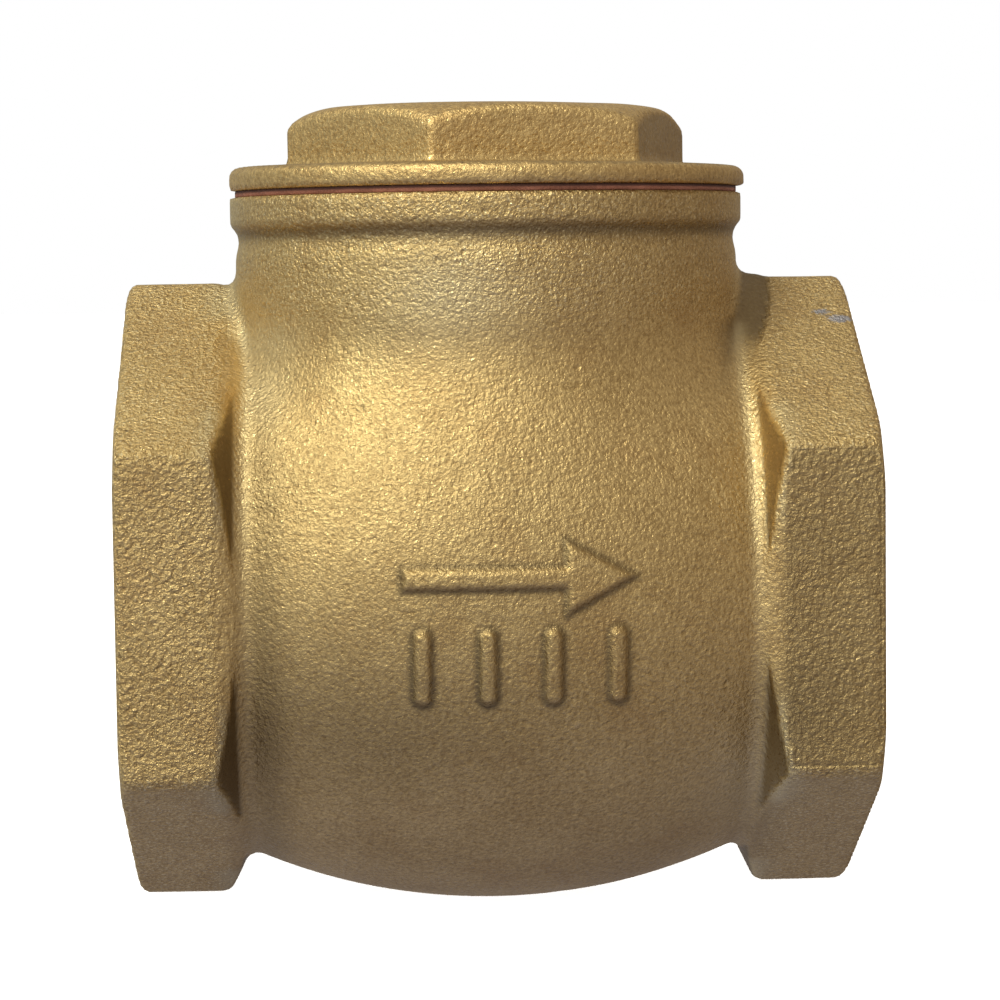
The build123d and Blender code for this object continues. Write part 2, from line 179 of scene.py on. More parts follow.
def hexagon(u, v, half):
    """Distance to a hexagon whose flats face v and whose corners lie on u."""
    kx, ky, kz = -math.sqrt(3.0) / 2.0, 0.5, 1.0 / math.sqrt(3.0)
    u, v = np.abs(u), np.abs(v)
    d = 2.0 * np.minimum(kx * u + ky * v, 0.0)
    u, v = u - d * kx, v - d * ky
    u = u - np.clip(u, -kz * half, kz * half)
    v = v - half
    return np.hypot(u, v) * np.sign(v)


def polygon(u, v, corners):
    """Distance to a closed polygon given by its corners."""
    best = np.full(u.shape, np.inf)
    inside = np.zeros(u.shape, bool)
    for (ax, ay), (bx, by) in zip(corners, corners[1:] + corners[:1]):
        ex, ey = bx - ax, by - ay
        wx, wy = u - ax, v - ay
        t = np.clip((wx * ex + wy * ey) / (ex * ex + ey * ey), 0.0, 1.0)
        best = np.minimum(best, np.hypot(wx - t * ex, wy - t * ey))
        crosses = (ay > v) != (by > v)
        at = ax + (v - ay) * ex / (ey if ey else 1e-9)
        inside ^= crosses & (u < at)
    return np.where(inside, -best, best)


def gradient(field, points, reach=0.02):
    """Slope of a field at each point, by central differences."""
    slope = np.empty_like(points)
    for axis in range(3):
        step = np.zeros(3)
        step[axis] = reach
        slope[:, axis] = (field(points + step) - field(points - step)) / (2 * reach)
    return slope


def unit_slope(field, points):
    """Direction in which a field grows, of length 1."""
    slope = gradient(field, points)
    return slope / np.linalg.norm(slope, axis=1)[:, None]


def settle(field, points, rounds=4, limit=0.5):
    """Move points onto the zero surface of a field."""
    for _ in range(rounds):
        g = gradient(field, points)
        size = np.maximum((g * g).sum(1), 0.09)
        step = np.clip(field(points) / size, -limit, limit)
        points = points - g * step[:, None]
    return points


def surface_net(field, low, high, cell):
    """Quads that wrap the zero surface of a field, one vertex to a grid cell."""
    axes = [np.arange(low[i], high[i] + cell, cell) for i in range(3)]
    shape = tuple(len(a) for a in axes)
    values = np.empty(shape, np.float32)
    plane = np.stack(np.meshgrid(axes[1], axes[2], indexing="ij"), -1).reshape(-1, 2)
    points = np.empty((len(plane), 3))
    points[:, 1:] = plane
    for i, x in enumerate(axes[0]):
        points[:, 0] = x
        values[i] = field(points).reshape(shape[1:])
    values[values == 0] = 1e-6
    inside = values < 0
    cells = tuple(s - 1 for s in shape)
    total = np.zeros(cells + (3,), np.float32)
    count = np.zeros(cells, np.int32)

    def corner(grid, c):
        return grid[tuple(slice(c[i], c[i] + cells[i]) for i in range(3))]

    for a in np.ndindex(2, 2, 2):
        for axis in range(3):
            if a[axis]:
                continue
            b = tuple(1 if i == axis else a[i] for i in range(3))
            va, vb = corner(values, a), corner(values, b)
            crossed = corner(inside, a) != corner(inside, b)
            t = np.where(crossed, va / np.where(crossed, va - vb, 1.0), 0.0)
            for i in range(3):
                at = t if i == axis else float(a[i])
                total[..., i] += np.where(crossed, at, 0.0)
            count += crossed
    active = count > 0
    index = np.full(cells, -1, np.int64)
    index[active] = np.arange(active.sum())
    where = np.argwhere(active)
    vertices = (where + total[active] / count[active][:, None]) * cell + np.array(low)
    quads = []
    for axis in range(3):
        b, c = np.eye(3, dtype=int)[[(axis + 1) % 3, (axis + 2) % 3]]
        flips = np.diff(inside, axis=axis)
        inner = [slice(1, -1)] * 3
        inner[axis] = slice(None)
        keep = np.zeros_like(flips)
        keep[tuple(inner)] = flips[tuple(inner)]
        at = np.argwhere(keep)
        cells_round = [at - b * i - c * j for i, j in ((1, 1), (0, 1), (0, 0), (1, 0))]
        ring = np.stack([index[tuple(q.T)] for q in cells_round], 1)
        outer = ~inside[tuple(at.T)]
        ring[outer] = ring[outer][:, ::-1]
        quads.append(ring)
    return vertices, np.concatenate(quads)


def relax(field, vertices, faces, rounds):
    """Even out the spacing of the vertices along the surface."""
    edges = np.concatenate([faces[:, [i, (i + 1) % 4]] for i in range(4)])
    edges = np.concatenate([edges, edges[:, ::-1]])
    degree = np.bincount(edges[:, 0], minlength=len(vertices)).astype(float)
    for _ in range(rounds):
        sums = [np.bincount(edges[:, 0], vertices[edges[:, 1], i], len(vertices)) for i in range(3)]
        mean = np.stack(sums, 1) / degree[:, None]
        g = gradient(field, vertices)
        g /= np.maximum(np.linalg.norm(g, axis=1), 1e-6)[:, None]
        move = mean - vertices
        move -= g * (move * g).sum(1)[:, None]
        vertices = settle(field, vertices + 0.6 * move, rounds=1)
    return vertices


def field_piece(name, field, low, high, cell):
    """Closed smooth mesh of a distance field, in metres."""
    vertices, faces = surface_net(field, low, high, cell)
    vertices = settle(field, vertices, limit=cell)
    vertices = relax(field, vertices, faces, rounds=3)
    vertices = settle(field, vertices, rounds=2, limit=cell / 2)
    mesh = bpy.data.meshes.new(name)
    mesh.vertices.add(len(vertices))
    mesh.vertices.foreach_set("co", (vertices * MM).astype(np.float32).ravel())
    mesh.loops.add(faces.size)
    mesh.loops.foreach_set("vertex_index", faces.astype(np.int32).ravel())
    mesh.polygons.add(len(faces))
    mesh.polygons.foreach_set("loop_start", np.arange(0, faces.size, 4, dtype=np.int32))
    mesh.polygons.foreach_set("loop_total", np.full(len(faces), 4, np.int32))
    mesh.update(calc_edges=True)
    mesh.validate()
    return add_object(name, mesh)


# ---- The casting ----
def measures(p):
    """x, y, z; along from the middle; from the pipe's axis; from the neck's; from the nearer end."""
    x, y, z = p.T
    dx = x - MID
    return x, y, z, dx, np.hypot(y, z), np.hypot(dx, y), MID - np.abs(dx)


def casting_outside(p):
    """Barrel, hexagon ends, neck with collar, and the boss behind the hinge pin."""
    x, y, z, dx, r, rho, from_end = measures(p)
    barrel = both(barrel_skin(dx, r), BARREL_FROM_END - from_end, 1.0)
    ends = hexagon(z, y, HEX_HALF - HEX_ROUND) - HEX_ROUND
    shoulder = (from_end - SHOULDER_X) * SHOULDER_NORMAL[0]
    shoulder += (r - SHOULDER_R) * SHOULDER_NORMAL[1]
    ends = both(ends, shoulder, 1.3)
    bevel = from_end * END_BEVEL_NORMAL[0] + (r - END_FACE_R) * END_BEVEL_NORMAL[1]
    ends = both(ends, bevel, 0.8)
    ends = both(ends, -from_end, 0.5)
    step = ramp(z, COLLAR_STEP_Z - 0.8, 2.0)
    groove = 0.6 * hump(z, COLLAR_STEP_Z - 2.2, 2.0)
    neck = rho - NECK_R - (COLLAR_R - NECK_R) * step + groove
    neck = both(neck, z - COLLAR_TOP, 0.5)
    neck = np.maximum(neck, -z)
    boss = both(np.hypot(x - PIN[0], z - PIN[2]) - BOSS_R, y - BOSS_FACE, 0.7)
    boss = np.maximum(boss, BOSS_ROOT - y)
    outside = join(barrel, ends, END_FILLET)
    foot = INLET_FOOT + (OUTLET_FOOT - INLET_FOOT) * ramp(dx, 0.0, 20.0)
    foot = foot + (FRONT_FOOT - foot) * ramp(np.abs(dx), 46.0, -20.0)
    outside = join(outside, neck, foot)
    return join(outside, boss, 2.5)


def casting_space(p):
    """Everything that is open inside: sockets, chamber, neck and the seat's bore."""
    x, y, z, dx, r, rho, from_end = measures(p)
    _, up_seat, off_seat = seat_frame(p)
    chamber = both(barrel_skin(dx, r) + WALL, -off_seat - SEAT_STEP, 1.5)
    chamber = np.maximum(chamber, x - LENGTH + THREAD_DEPTH)
    neck = both(rho - NECK_BORE, NECK_FLOOR - z, 1.0)
    thread = both(rho - CAP_SOCKET_R, CAP_THREAD_FLOOR - z, 0.3)
    socket = np.maximum(r - SOCKET_R, from_end - THREAD_DEPTH)
    space = np.minimum(np.minimum(join(chamber, neck, 1.5), thread), socket)
    bore = np.hypot(up_seat, y) - SEAT_BORE
    bore = np.maximum(bore, np.maximum(-off_seat - SEAT_REACH, off_seat - SEAT_STEP))
    return join(space, bore, 0.3)


def casting(p):
    """The whole casting without its waviness or raised mark."""
    x, y, z = p.T
    body = cut(casting_outside(p), casting_space(p), 0.4)
    rho = np.hypot(x - MID, y)
    lug = np.hypot(x - PIN[0], z - PIN[2]) - LUG_R
    lug = both(lug, LUG_INNER - np.abs(y), 0.8)
    lug = np.maximum(lug, rho - NECK_R + 2.0)
    _, up_seat, off_seat = seat_frame(p)
    reach = np.hypot(up_seat, y)
    lip = both(reach - SEAT_RING, SEAT_BORE - reach, 0.3)
    lip = both(lip, off_seat, 0.3)
    lip = np.maximum(lip, -off_seat - SEAT_STEP - 1.0)
    return join(join(body, lug, 2.0), lip, 0.6)


# ---- Raised flow mark on the front of the barrel ----
MARK_LEFT, MARK_RIGHT = -17.5, 23.0
MARK_HEIGHT = 0.9
MARK_SLOPE = 1.15
ARROW_Z = 7.0
ARROW_HALF = 6.6
ARROW_STEM = 2.0
ARROW_HEAD = 12.5
BAR_LOW, BAR_HIGH = -15.0, -1.4
BAR_WIDTH = 3.4
BAR_SPACING = 11.2
BAR_COUNT = 4
arrow_neck = MARK_RIGHT - ARROW_HEAD
half_arrow = [(MARK_LEFT, ARROW_STEM), (arrow_neck, ARROW_STEM), (arrow_neck, ARROW_HALF)]
ARROW = [(dx, ARROW_Z - half) for dx, half in half_arrow] + [(MARK_RIGHT, ARROW_Z)]
ARROW += [(dx, ARROW_Z + half) for dx, half in half_arrow[::-1]]


def mark_outline(dx, z):
    """Distance to the arrow and the row of plain bars, in the front view."""
    shape = polygon(dx, z, ARROW)
    first = (MARK_LEFT + MARK_RIGHT - BAR_SPACING * (BAR_COUNT - 1)) / 2
    for i in range(BAR_COUNT):
        up = z - np.clip(z, BAR_LOW + BAR_WIDTH / 2, BAR_HIGH - BAR_WIDTH / 2)
        bar = np.hypot(dx - first - i * BAR_SPACING, up) - BAR_WIDTH / 2
        shape = np.minimum(shape, bar)
    return shape


def marked_casting(p):
    """The casting with the raised mark on its barrel."""
    x, y, z = p.T
    body = casting(p)
    rise = np.clip(-mark_outline(x - MID, z) / MARK_SLOPE, -1.0, 1.0)
    mark = barrel_skin(x - MID, np.hypot(y, z)) - MARK_HEIGHT * np.sin(rise * math.pi / 2)
    mark = np.maximum(mark, y + 30.0)
    return join(body, mark, 0.5)


# ---- The cap ----
CAP_FLANGE_Z = gasket_high[2] + 0.02
CAP_FLANGE_TOP = CAP_FLANGE_Z + 4.0
CAP_FLANGE_R = 47.7
CAP_TOP = cap_high[2]
CAP_SKIRT_Z = cap_low[2]
CAP_HEX_HALF = 33.0
CAP_HEX_ROUND = 0.9
CAP_TURN = math.radians(-78.0)
# the cast head and flange stand a little off the screw's axis, and their tops lean
CAP_SHIFT = 0.7
CAP_FLANGE_SHIFT = 0.3
CAP_LEAN = 0.008
CAP_CONE_R = 32.0
CAP_CONE = math.radians(30.0)
CAP_SKIRT_R = 40.75
CAP_HOLLOW_R = 36.0
CAP_DOME_R = 24.0
CAP_DOME_TOP = 82.5


def cap(p):
    """Flange, bevelled hexagon and hollow skirt of the screwed cap."""
    x, y, z = p.T
    dx = x - MID
    rho = np.hypot(dx, y)
    off = dx - CAP_SHIFT
    across = off * math.cos(CAP_TURN) + y * math.sin(CAP_TURN)
    along = -off * math.sin(CAP_TURN) + y * math.cos(CAP_TURN)
    head = hexagon(along, across, CAP_HEX_HALF - CAP_HEX_ROUND) - CAP_HEX_ROUND
    top = z - CAP_TOP + CAP_LEAN * np.maximum(dx + 20.0, 0.0)
    bevel = (np.hypot(off, y) - CAP_CONE_R) * math.sin(CAP_CONE) + top * math.cos(CAP_CONE)
    head = both(head, bevel, 1.2)
    head = both(head, top, 1.6)
    head = np.maximum(head, CAP_FLANGE_Z + 1.0 - z)
    flange = np.hypot(dx - CAP_FLANGE_SHIFT, y) - CAP_FLANGE_R
    flange = both(flange, z - CAP_FLANGE_TOP + CAP_LEAN * dx, 2.0)
    flange = both(flange, CAP_FLANGE_Z - z, 0.8)
    skirt = both(rho - CAP_SKIRT_R, CAP_SKIRT_Z - z, 0.4)
    skirt = np.maximum(skirt, z - CAP_FLANGE_Z - 1.0)
    solid = join(join(flange, head, 1.4), skirt, 0.3)
    hollow = both(rho - CAP_HOLLOW_R, z - CAP_FLANGE_Z + 1.2, 4.0)
    dome = both(rho - CAP_DOME_R, z - CAP_DOME_TOP, 5.0)
    return cut(solid, join(hollow, dome, 3.0), 0.5)


# ---- Inside pieces, in the seat's own frame: a = Y, b = up along the seat, n = off the seat ----
ARM_FRONT = 9.0
ARM_BOSS_BACK = 16.0
ARM_BOSS_R = 12.5
ARM_EYE_R = 7.1
PLATE_MIDDLE = 12.0
PLATE_HALF = 3.0
HUB_R = 7.0
HUB_HALF = 16.5
PIN_HOLE_R = 4.1
OPEN = math.radians(58.0)
FINGER_LENGTH = 11.4


def hinge_arm(p):
    """Hub, tapered plate, stud boss and the finger that stops the swing."""
    x, y, z = p.T
    a, b, n = seat_frame(p)
    width = 9.0 + 6.0 * np.clip(b / PIN_UP, 0.0, 1.0)
    plate = both(np.abs(a) - width, np.abs(n - PLATE_MIDDLE) - PLATE_HALF, 1.4)
    plate = both(plate, np.abs(b - PIN_UP / 2) - PIN_UP / 2, 1.0)
    boss = both(np.hypot(a, b) - ARM_BOSS_R, np.abs(n - (ARM_FRONT + ARM_BOSS_BACK) / 2) - 3.5, 0.7)
    rx, rz = x - PIN[0], z - PIN[2]
    hub = both(np.hypot(rx, rz) - HUB_R, np.abs(y) - HUB_HALF, 0.6)
    fx = rx * math.cos(OPEN) - rz * math.sin(OPEN)
    fz = rx * math.sin(OPEN) + rz * math.cos(OPEN)
    finger = both(np.abs(y) - 5.0, np.abs(fz - 3.9) - 2.9, 1.0)
    finger = both(finger, np.abs(fx + FINGER_LENGTH / 2) - FINGER_LENGTH / 2, 0.8)
    arm = join(join(plate, boss, 2.5), join(hub, finger, 1.5), 2.5)
    arm = cut(arm, np.hypot(rx, rz) - PIN_HOLE_R, 0.4)
    return cut(arm, np.hypot(a, b) - ARM_EYE_R, 0.5)


def hex_prism(a, b, n, half, low, high, edge):
    """Bolt head or nut with rounded corners."""
    shape = hexagon(a, b, half - 0.5) - 0.5
    bevel = (np.hypot(a, b) - half - 0.35) * 0.5 + (n - high) * 0.866
    shape = both(shape, bevel, 0.3)
    return both(shape, np.abs(n - (low + high) / 2) - (high - low) / 2, edge)


NUT_HALF = 11.0
NUT_LOW, NUT_HIGH = 18.3, 27.3
NUT_BORE = 7.05
SLOT_HALF = 1.7
SLOT_FLOOR = 24.1


def disc_nut(p):
    """Nut on the stud, with six slots for the split pin."""
    a, b, n = seat_frame(p)
    nut = hex_prism(a, b, n, NUT_HALF, NUT_LOW, NUT_HIGH, 0.3)
    nut = cut(nut, np.hypot(a, b) - NUT_BORE, 0.3)
    for i in range(3):
        turn = math.radians(60 * i)
        side = -a * math.sin(turn) + b * math.cos(turn)
        nut = cut(nut, both(np.abs(side) - SLOT_HALF, SLOT_FLOOR - n, 0.3), 0.25)
    return nut


def screw_head(p):
    """Hexagon head of the facing's screw, seen from the inlet."""
    a, b, n = seat_frame(p)
    head = hex_prism(a, b, -n, 6.5, 2.35, 7.65, 0.2)
    shank = both(np.hypot(a, b) - 3.95, np.abs(n - 6.0) - 9.0, 0.5)
    return join(head, shank, 0.2)


def plug(p):
    """Hexagon-headed plug in the rear boss."""
    x, y, z = p.T
    a, b = x - PIN[0], z - PIN[2]
    head = hex_prism(b, a, y, 8.5, 43.2, 49.2, 0.3)
    shank = both(np.hypot(a, b) - 5.95, np.abs(y - 38.0) - 6.0, 0.5)
    return join(head, shank, 0.2)


# ---- Mesh helpers for turned, threaded and bent pieces ----
def link_mesh(name, vertices, faces):
    """New object from millimetre vertices and faces, its normals outward."""
    mesh = bpy.data.meshes.new(name)
    mesh.from_pydata([tuple(v) for v in np.asarray(vertices) * MM], [], [tuple(f) for f in faces])
    mesh.validate()
    mesh.update()
    return outward(add_object(name, mesh))


def grid_torus(name, grid):
    """Closed mesh from a (turns, section, 3) grid that wraps both ways."""
    turns, section = grid.shape[:2]
    i, j = np.meshgrid(np.arange(turns), np.arange(section), indexing="ij")
    i2, j2 = (i + 1) % turns, (j + 1) % section
    faces = np.stack([i * section + j, i2 * section + j, i2 * section + j2, i * section + j2], -1)
    return link_mesh(name, grid.reshape(-1, 3), faces.reshape(-1, 4).tolist())


def axis_points(origin, axis, side, radius, angle, height):
    """Points at a radius, angle and height about an axis."""
    origin, axis, side = (np.array(v, float) for v in (origin, axis, side))
    other = np.cross(axis, side)
    around = np.cos(angle)[..., None] * side + np.sin(angle)[..., None] * other
    return origin + around * np.asarray(radius)[..., None] + axis * np.asarray(height)[..., None]


def rounded_profile(corners, edge, steps=3):
    """Closed outline of (radius, height) corners with small rounds."""
    out = []
    count = len(corners)
    for i, here in enumerate(corners):
        here = np.array(here, float)
        before = np.array(corners[i - 1], float) - here
        after = np.array(corners[(i + 1) % count], float) - here
        reach_b, reach_a = np.linalg.norm(before), np.linalg.norm(after)
        size = min(edge, 0.4 * reach_b, 0.4 * reach_a)
        start, end = here + before / reach_b * size, here + after / reach_a * size
        for k in range(steps + 1):
            t = k / steps
            out.append((1 - t) ** 2 * start + 2 * t * (1 - t) * here + t * t * end)
    return out


def lathe(name, corners, origin, axis, side, edge=0.3, turns=128, wobble=None):
    """Ring-shaped turned piece; corners are (radius, height) about the axis."""
    outline = np.array(rounded_profile(corners, edge))
    angle = np.linspace(0, 2 * math.pi, turns, endpoint=False)[:, None]
    radius, height = (np.tile(column, (turns, 1)) for column in outline.T)
    if wobble:
        radius, height = wobble(angle, radius, height)
    angle = np.broadcast_to(angle, radius.shape)
    return grid_torus(name, axis_points(origin, axis, side, radius, angle, height))


def thread_sleeve(
    name, origin, axis, side, low, high, pitch, crest, root, buried, ends, lead=0.0, per_turn=12,
    around=180,
):
    """Sleeve with a right-hand thread on one side and a plain buried face on the other.

    ends gives the radius that the threaded face has at its two ends, and over what length.
    """
    steps = max(8, int((high - low) / pitch * per_turn))
    height = np.linspace(low, high, steps + 1)
    angle = np.linspace(0, 2 * math.pi, around, endpoint=False)
    angle, height = np.meshgrid(angle, height, indexing="ij")
    phase = (height / pitch - angle / (2 * math.pi) + lead) % 1.0
    ridge = np.clip(1.25 - 2.5 * np.abs(2 * phase - 1.0), 0.0, 1.0)
    ridge = 0.75 * ridge + 0.25 * smooth_step(ridge)
    radius = root + (crest - root) * ridge
    (low_r, low_run), (high_r, high_run) = ends
    for limit_r, run, reach in ((low_r, low_run, height - low), (high_r, high_run, high - height)):
        if run > 0:
            limit = limit_r + (crest - limit_r) * np.clip(reach / run, 0.0, 1.0)
            radius = np.maximum(radius, limit) if crest < root else np.minimum(radius, limit)
    grid = axis_points(origin, axis, side, radius, angle, height)
    ends_back = np.stack([np.full(around, high), np.full(around, low)], 1)
    back = axis_points(origin, axis, side, np.full((around, 2), buried), angle[:, :2], ends_back)
    return grid_torus(name, np.concatenate([grid, back], 1))


def tube(name, path, radius, sides=14):
    """Closed round bar along a path of points, its ends capped."""
    path = np.array(path, float)
    along = np.gradient(path, axis=0)
    along /= np.linalg.norm(along, axis=1)[:, None]
    normal = np.cross(along[0], [0.3, 0.5, 0.8])
    rings = []
    for point, t in zip(path, along):
        normal = normal - t * (normal @ t)
        normal /= np.linalg.norm(normal)
        other = np.cross(t, normal)
        a = np.linspace(0, 2 * math.pi, sides, endpoint=False)
        rings.append(point + radius * (np.cos(a)[:, None] * normal + np.sin(a)[:, None] * other))
    vertices = np.concatenate(rings)
    last = len(vertices) - sides
    faces = [
        (i + j, i + (j + 1) % sides, i + sides + (j + 1) % sides, i + sides + j)
        for i in range(0, last, sides) for j in range(sides)
    ]
    faces += [tuple(range(sides))[::-1], tuple(range(last, last + sides))]
    return link_mesh(name, vertices, faces)


def outward(piece):
    """Consistent outward normals."""
    mesh = bmesh.new()
    mesh.from_mesh(piece.data)
    bmesh.ops.recalc_face_normals(mesh, faces=mesh.faces)
    if mesh.calc_volume(signed=True) < 0:
        bmesh.ops.reverse_faces(mesh, faces=mesh.faces)
    mesh.to_mesh(piece.data)
    mesh.free()
    return piece


def shade(piece, angle):
    """Smooth shading, with edges sharper than the angle kept sharp."""
    mesh = bmesh.new()
    mesh.from_mesh(piece.data)
    limit = math.radians(angle)
    for face in mesh.faces:
        face.smooth = True
    for edge in mesh.edges:
        if len(edge.link_faces) == 2:
            edge.smooth = edge.calc_face_angle(0.0) < limit
    mesh.to_mesh(piece.data)
    mesh.free()


# ---- Casting surface: slow waviness and small dents, moved into the mesh itself ----
def lattice_noise(points, size, seed):
    """Smooth noise between -1 and 1 with lumps of the given size."""
    table = np.random.default_rng(seed).uniform(-1, 1, (32, 32, 32))
    q = points / size
    base = np.floor(q).astype(int)
    t = smooth_step(q - base)
    total = np.zeros(len(points))
    for corner in np.ndindex(2, 2, 2):
        weight = np.where(corner, t, 1 - t)
        cell = (base + corner) % 32
        total += weight[:, 0] * weight[:, 1] * weight[:, 2] * table[tuple(cell.T)]
    return total


def vertex_array(piece):
    """Vertices of a piece in millimetres."""
    flat = np.empty(len(piece.data.vertices) * 3, np.float32)
    piece.data.vertices.foreach_get("co", flat)
    return flat.reshape(-1, 3).astype(float) / MM


def set_vertices(piece, points):
    """Move a piece's vertices to points in millimetres."""
    piece.data.vertices.foreach_set("co", (points * MM).astype(np.float32).ravel())
    piece.data.update()


def set_values(piece, **values):
    """Numbers on the vertices that a material reads, each under its own name."""
    for name, numbers in values.items():
        layer = piece.data.attributes.new(name, "FLOAT", "POINT")
        layer.data.foreach_set("value", np.asarray(numbers, np.float32))


# ---- Materials ----
class Wiring:
    """Adds and wires the nodes of one tree."""

    def __init__(self, tree):
        self.tree = tree

    def find(self, kind):
        return next(node for node in self.tree.nodes if node.type == kind)

    def add(self, kind, **settings):
        node = self.tree.nodes.new(kind)
        for key, value in settings.items():
            setattr(node, key, value)
        return node

    def wire(self, source, target):
        self.tree.links.new(source, target)

    def feed(self, value, socket):
        if isinstance(value, (int, float)):
            socket.default_value = value
        else:
            self.wire(value, socket)

    def load(self, node, **values):
        for name, value in values.items():
            self.feed(value, node.inputs[name])
        return node

    def math(self, operation, a, b=0.0, c=0.0):
        node = self.add("ShaderNodeMath", operation=operation)
        for value, socket in zip((a, b, c), node.inputs):
            self.feed(value, socket)
        return node.outputs[0]

    def times(self, a, b):
        return self.math("MULTIPLY", a, b)

    def times_plus(self, a, b, c):
        return self.math("MULTIPLY_ADD", a, b, c)

    def spread(self, value, low, high, to_low=0.0, to_high=1.0):
        node = self.add("ShaderNodeMapRange", clamp=True)
        self.feed(value, node.inputs["Value"])
        for key, number in zip(("From Min", "From Max", "To Min", "To Max"), (low, high, to_low, to_high)):
            node.inputs[key].default_value = number
        return node.outputs["Result"]

    def blend(self, factor, a, b):
        node = self.add("ShaderNodeMix", data_type="RGBA")
        self.feed(factor, node.inputs["Factor"])
        for value, socket in ((a, node.inputs[6]), (b, node.inputs[7])):
            if isinstance(value, tuple):
                socket.default_value = (*value, 1.0)
            else:
                self.wire(value, socket)
        return node.outputs[2]


class Nodes(Wiring):
    """Nodes of a new material, which measures in millimetres."""

    def __init__(self, name):
        self.material = bpy.data.materials.new(name)
        self.material.use_nodes = True
        super().__init__(self.material.node_tree)
        self.shader = self.find("BSDF_PRINCIPLED")
        coordinates = self.add("ShaderNodeTexCoord").outputs["Object"]
        scale = self.add("ShaderNodeVectorMath", operation="SCALE")
        self.wire(coordinates, scale.inputs[0])
        scale.inputs["Scale"].default_value = 1.0 / MM
        self.place = scale.outputs[0]

    def noise(self, size, detail=2.0, rough=0.5):
        node = self.add("ShaderNodeTexNoise")
        self.load(node, Vector=self.place, Scale=1.0 / size, Detail=detail, Roughness=rough)
        return node.outputs["Fac"]

    def cells(self, size):
        node = self.add("ShaderNodeTexVoronoi", feature="F1")
        return self.load(node, Vector=self.place, Scale=1.0 / size).outputs["Distance"]

    def bump(self, height, depth):
        node = self.load(self.add("ShaderNodeBump"), Height=height, Distance=depth * MM, Strength=1.0)
        self.wire(node.outputs["Normal"], self.shader.inputs["Normal"])

    def attribute(self, name):
        return self.add("ShaderNodeAttribute", attribute_name=name).outputs["Fac"]

    def separate(self):
        return self.load(self.add("ShaderNodeSeparateXYZ"), Vector=self.place).outputs

    def finish(self, colour, rough, metallic=0.0, specular=0.5):
        """Feed the shader and give back the material."""
        inputs = self.shader.inputs
        self.wire(colour, inputs["Base Color"])
        self.feed(rough, inputs["Roughness"])
        inputs["Metallic"].default_value = metallic
        inputs["Specular IOR Level"].default_value = specular
        return self.material


# colours the skin is blended towards: a painted shade, a painted highlight, painted glints and bare scuffs
SHADE_TINT = (0.185, 0.134, 0.070)
LIGHT_TINT = (0.74, 0.62, 0.36)
GLINT = (0.95, 0.82, 0.50)
SCUFFED = (0.42, 0.42, 0.47)


def cast_brass(name, shaped, dark, light, relief=0.32):
    """Sand-cast, shot-blasted brass: pebbly grain, small pits, slow patches of tarnish.

    A shaped piece carries values on its points: grain, how rough the skin is and how many painted glints
    it shows; coarse, how large its pebbles are; soil, bright and scuff, how far its colour goes to a
    painted shade, to a paler painted highlight and to bare scuffs.
    """
    n = Nodes(name)
    fine = n.noise(0.62, 2.0, 0.6)
    pebble = n.noise(1.0, 3.0, 0.62)
    lump = n.noise(3.4, 2.0, 0.5)
    patch = n.noise(26.0, 3.0, 0.6)
    pit = n.spread(n.cells(4.4), 0.0, 0.15, 1.0, 0.0)
    coarse = n.attribute("coarse") if shaped else 0.3
    fine_part = n.times(fine, n.spread(coarse, 1.0, 1.4, 0.9, 0.35) if shaped else 0.9)
    height = n.times_plus(n.times(pebble, 2.2), coarse, fine_part)
    height = n.times_plus(pit, -0.5, height)
    height = n.times_plus(lump, 0.5, height)
    if shaped:
        height = n.times(height, n.attribute("grain"))
    n.bump(height, relief)
    tone = n.times_plus(fine, 0.8, n.times(pebble, 0.5))
    tone = n.spread(n.times_plus(patch, 0.4, tone), 0.62, 1.06)
    colour = n.blend(tone, dark, light)
    brown = n.spread(n.noise(15.0, 4.0, 0.65), 0.52, 0.70, 0.0, 0.35)
    colour = n.blend(brown, colour, (dark[0] * 1.1, dark[1] * 1.02, dark[2]))
    if shaped:
        # painted shade: colour goes towards a dark brown by the shade value on the points
        shade_by = n.spread(n.attribute("soil"), 0.0, 1.0, 0.0, 0.85)
        colour = n.blend(shade_by, colour, SHADE_TINT)
        # painted highlight: colour goes towards a pale brass by the light value on the points
        colour = n.blend(n.attribute("bright"), colour, LIGHT_TINT)
        # painted glints: pale specks in the colour, more where the grain is strong
        painted_glint = n.spread(n.noise(0.50, 1.0), 0.58, 0.68, 0.0, 0.9)
        painted_glint = n.times(painted_glint, n.spread(n.attribute("grain"), 1.0, 1.8, 0.0, 0.6))
        colour = n.blend(painted_glint, colour, GLINT)
        scuff = n.spread(n.times(n.attribute("scuff"), fine), 0.18, 0.34, 0.0, 0.9)
        colour = n.blend(scuff, colour, SCUFFED)
    rough = n.times_plus(n.noise(0.8, 2.0), 0.7, n.times(patch, 0.3))
    rough = n.spread(rough, 0.3, 0.7, 0.60, 0.42)
    glint = n.spread(n.noise(0.55, 1.0), 0.60, 0.68, 0.0, 0.24)
    return n.finish(colour, n.math("SUBTRACT", rough, glint), metallic=1.0)


TOOL_MARK = 0.30
TOOL_MARK_DEPTH = 0.045


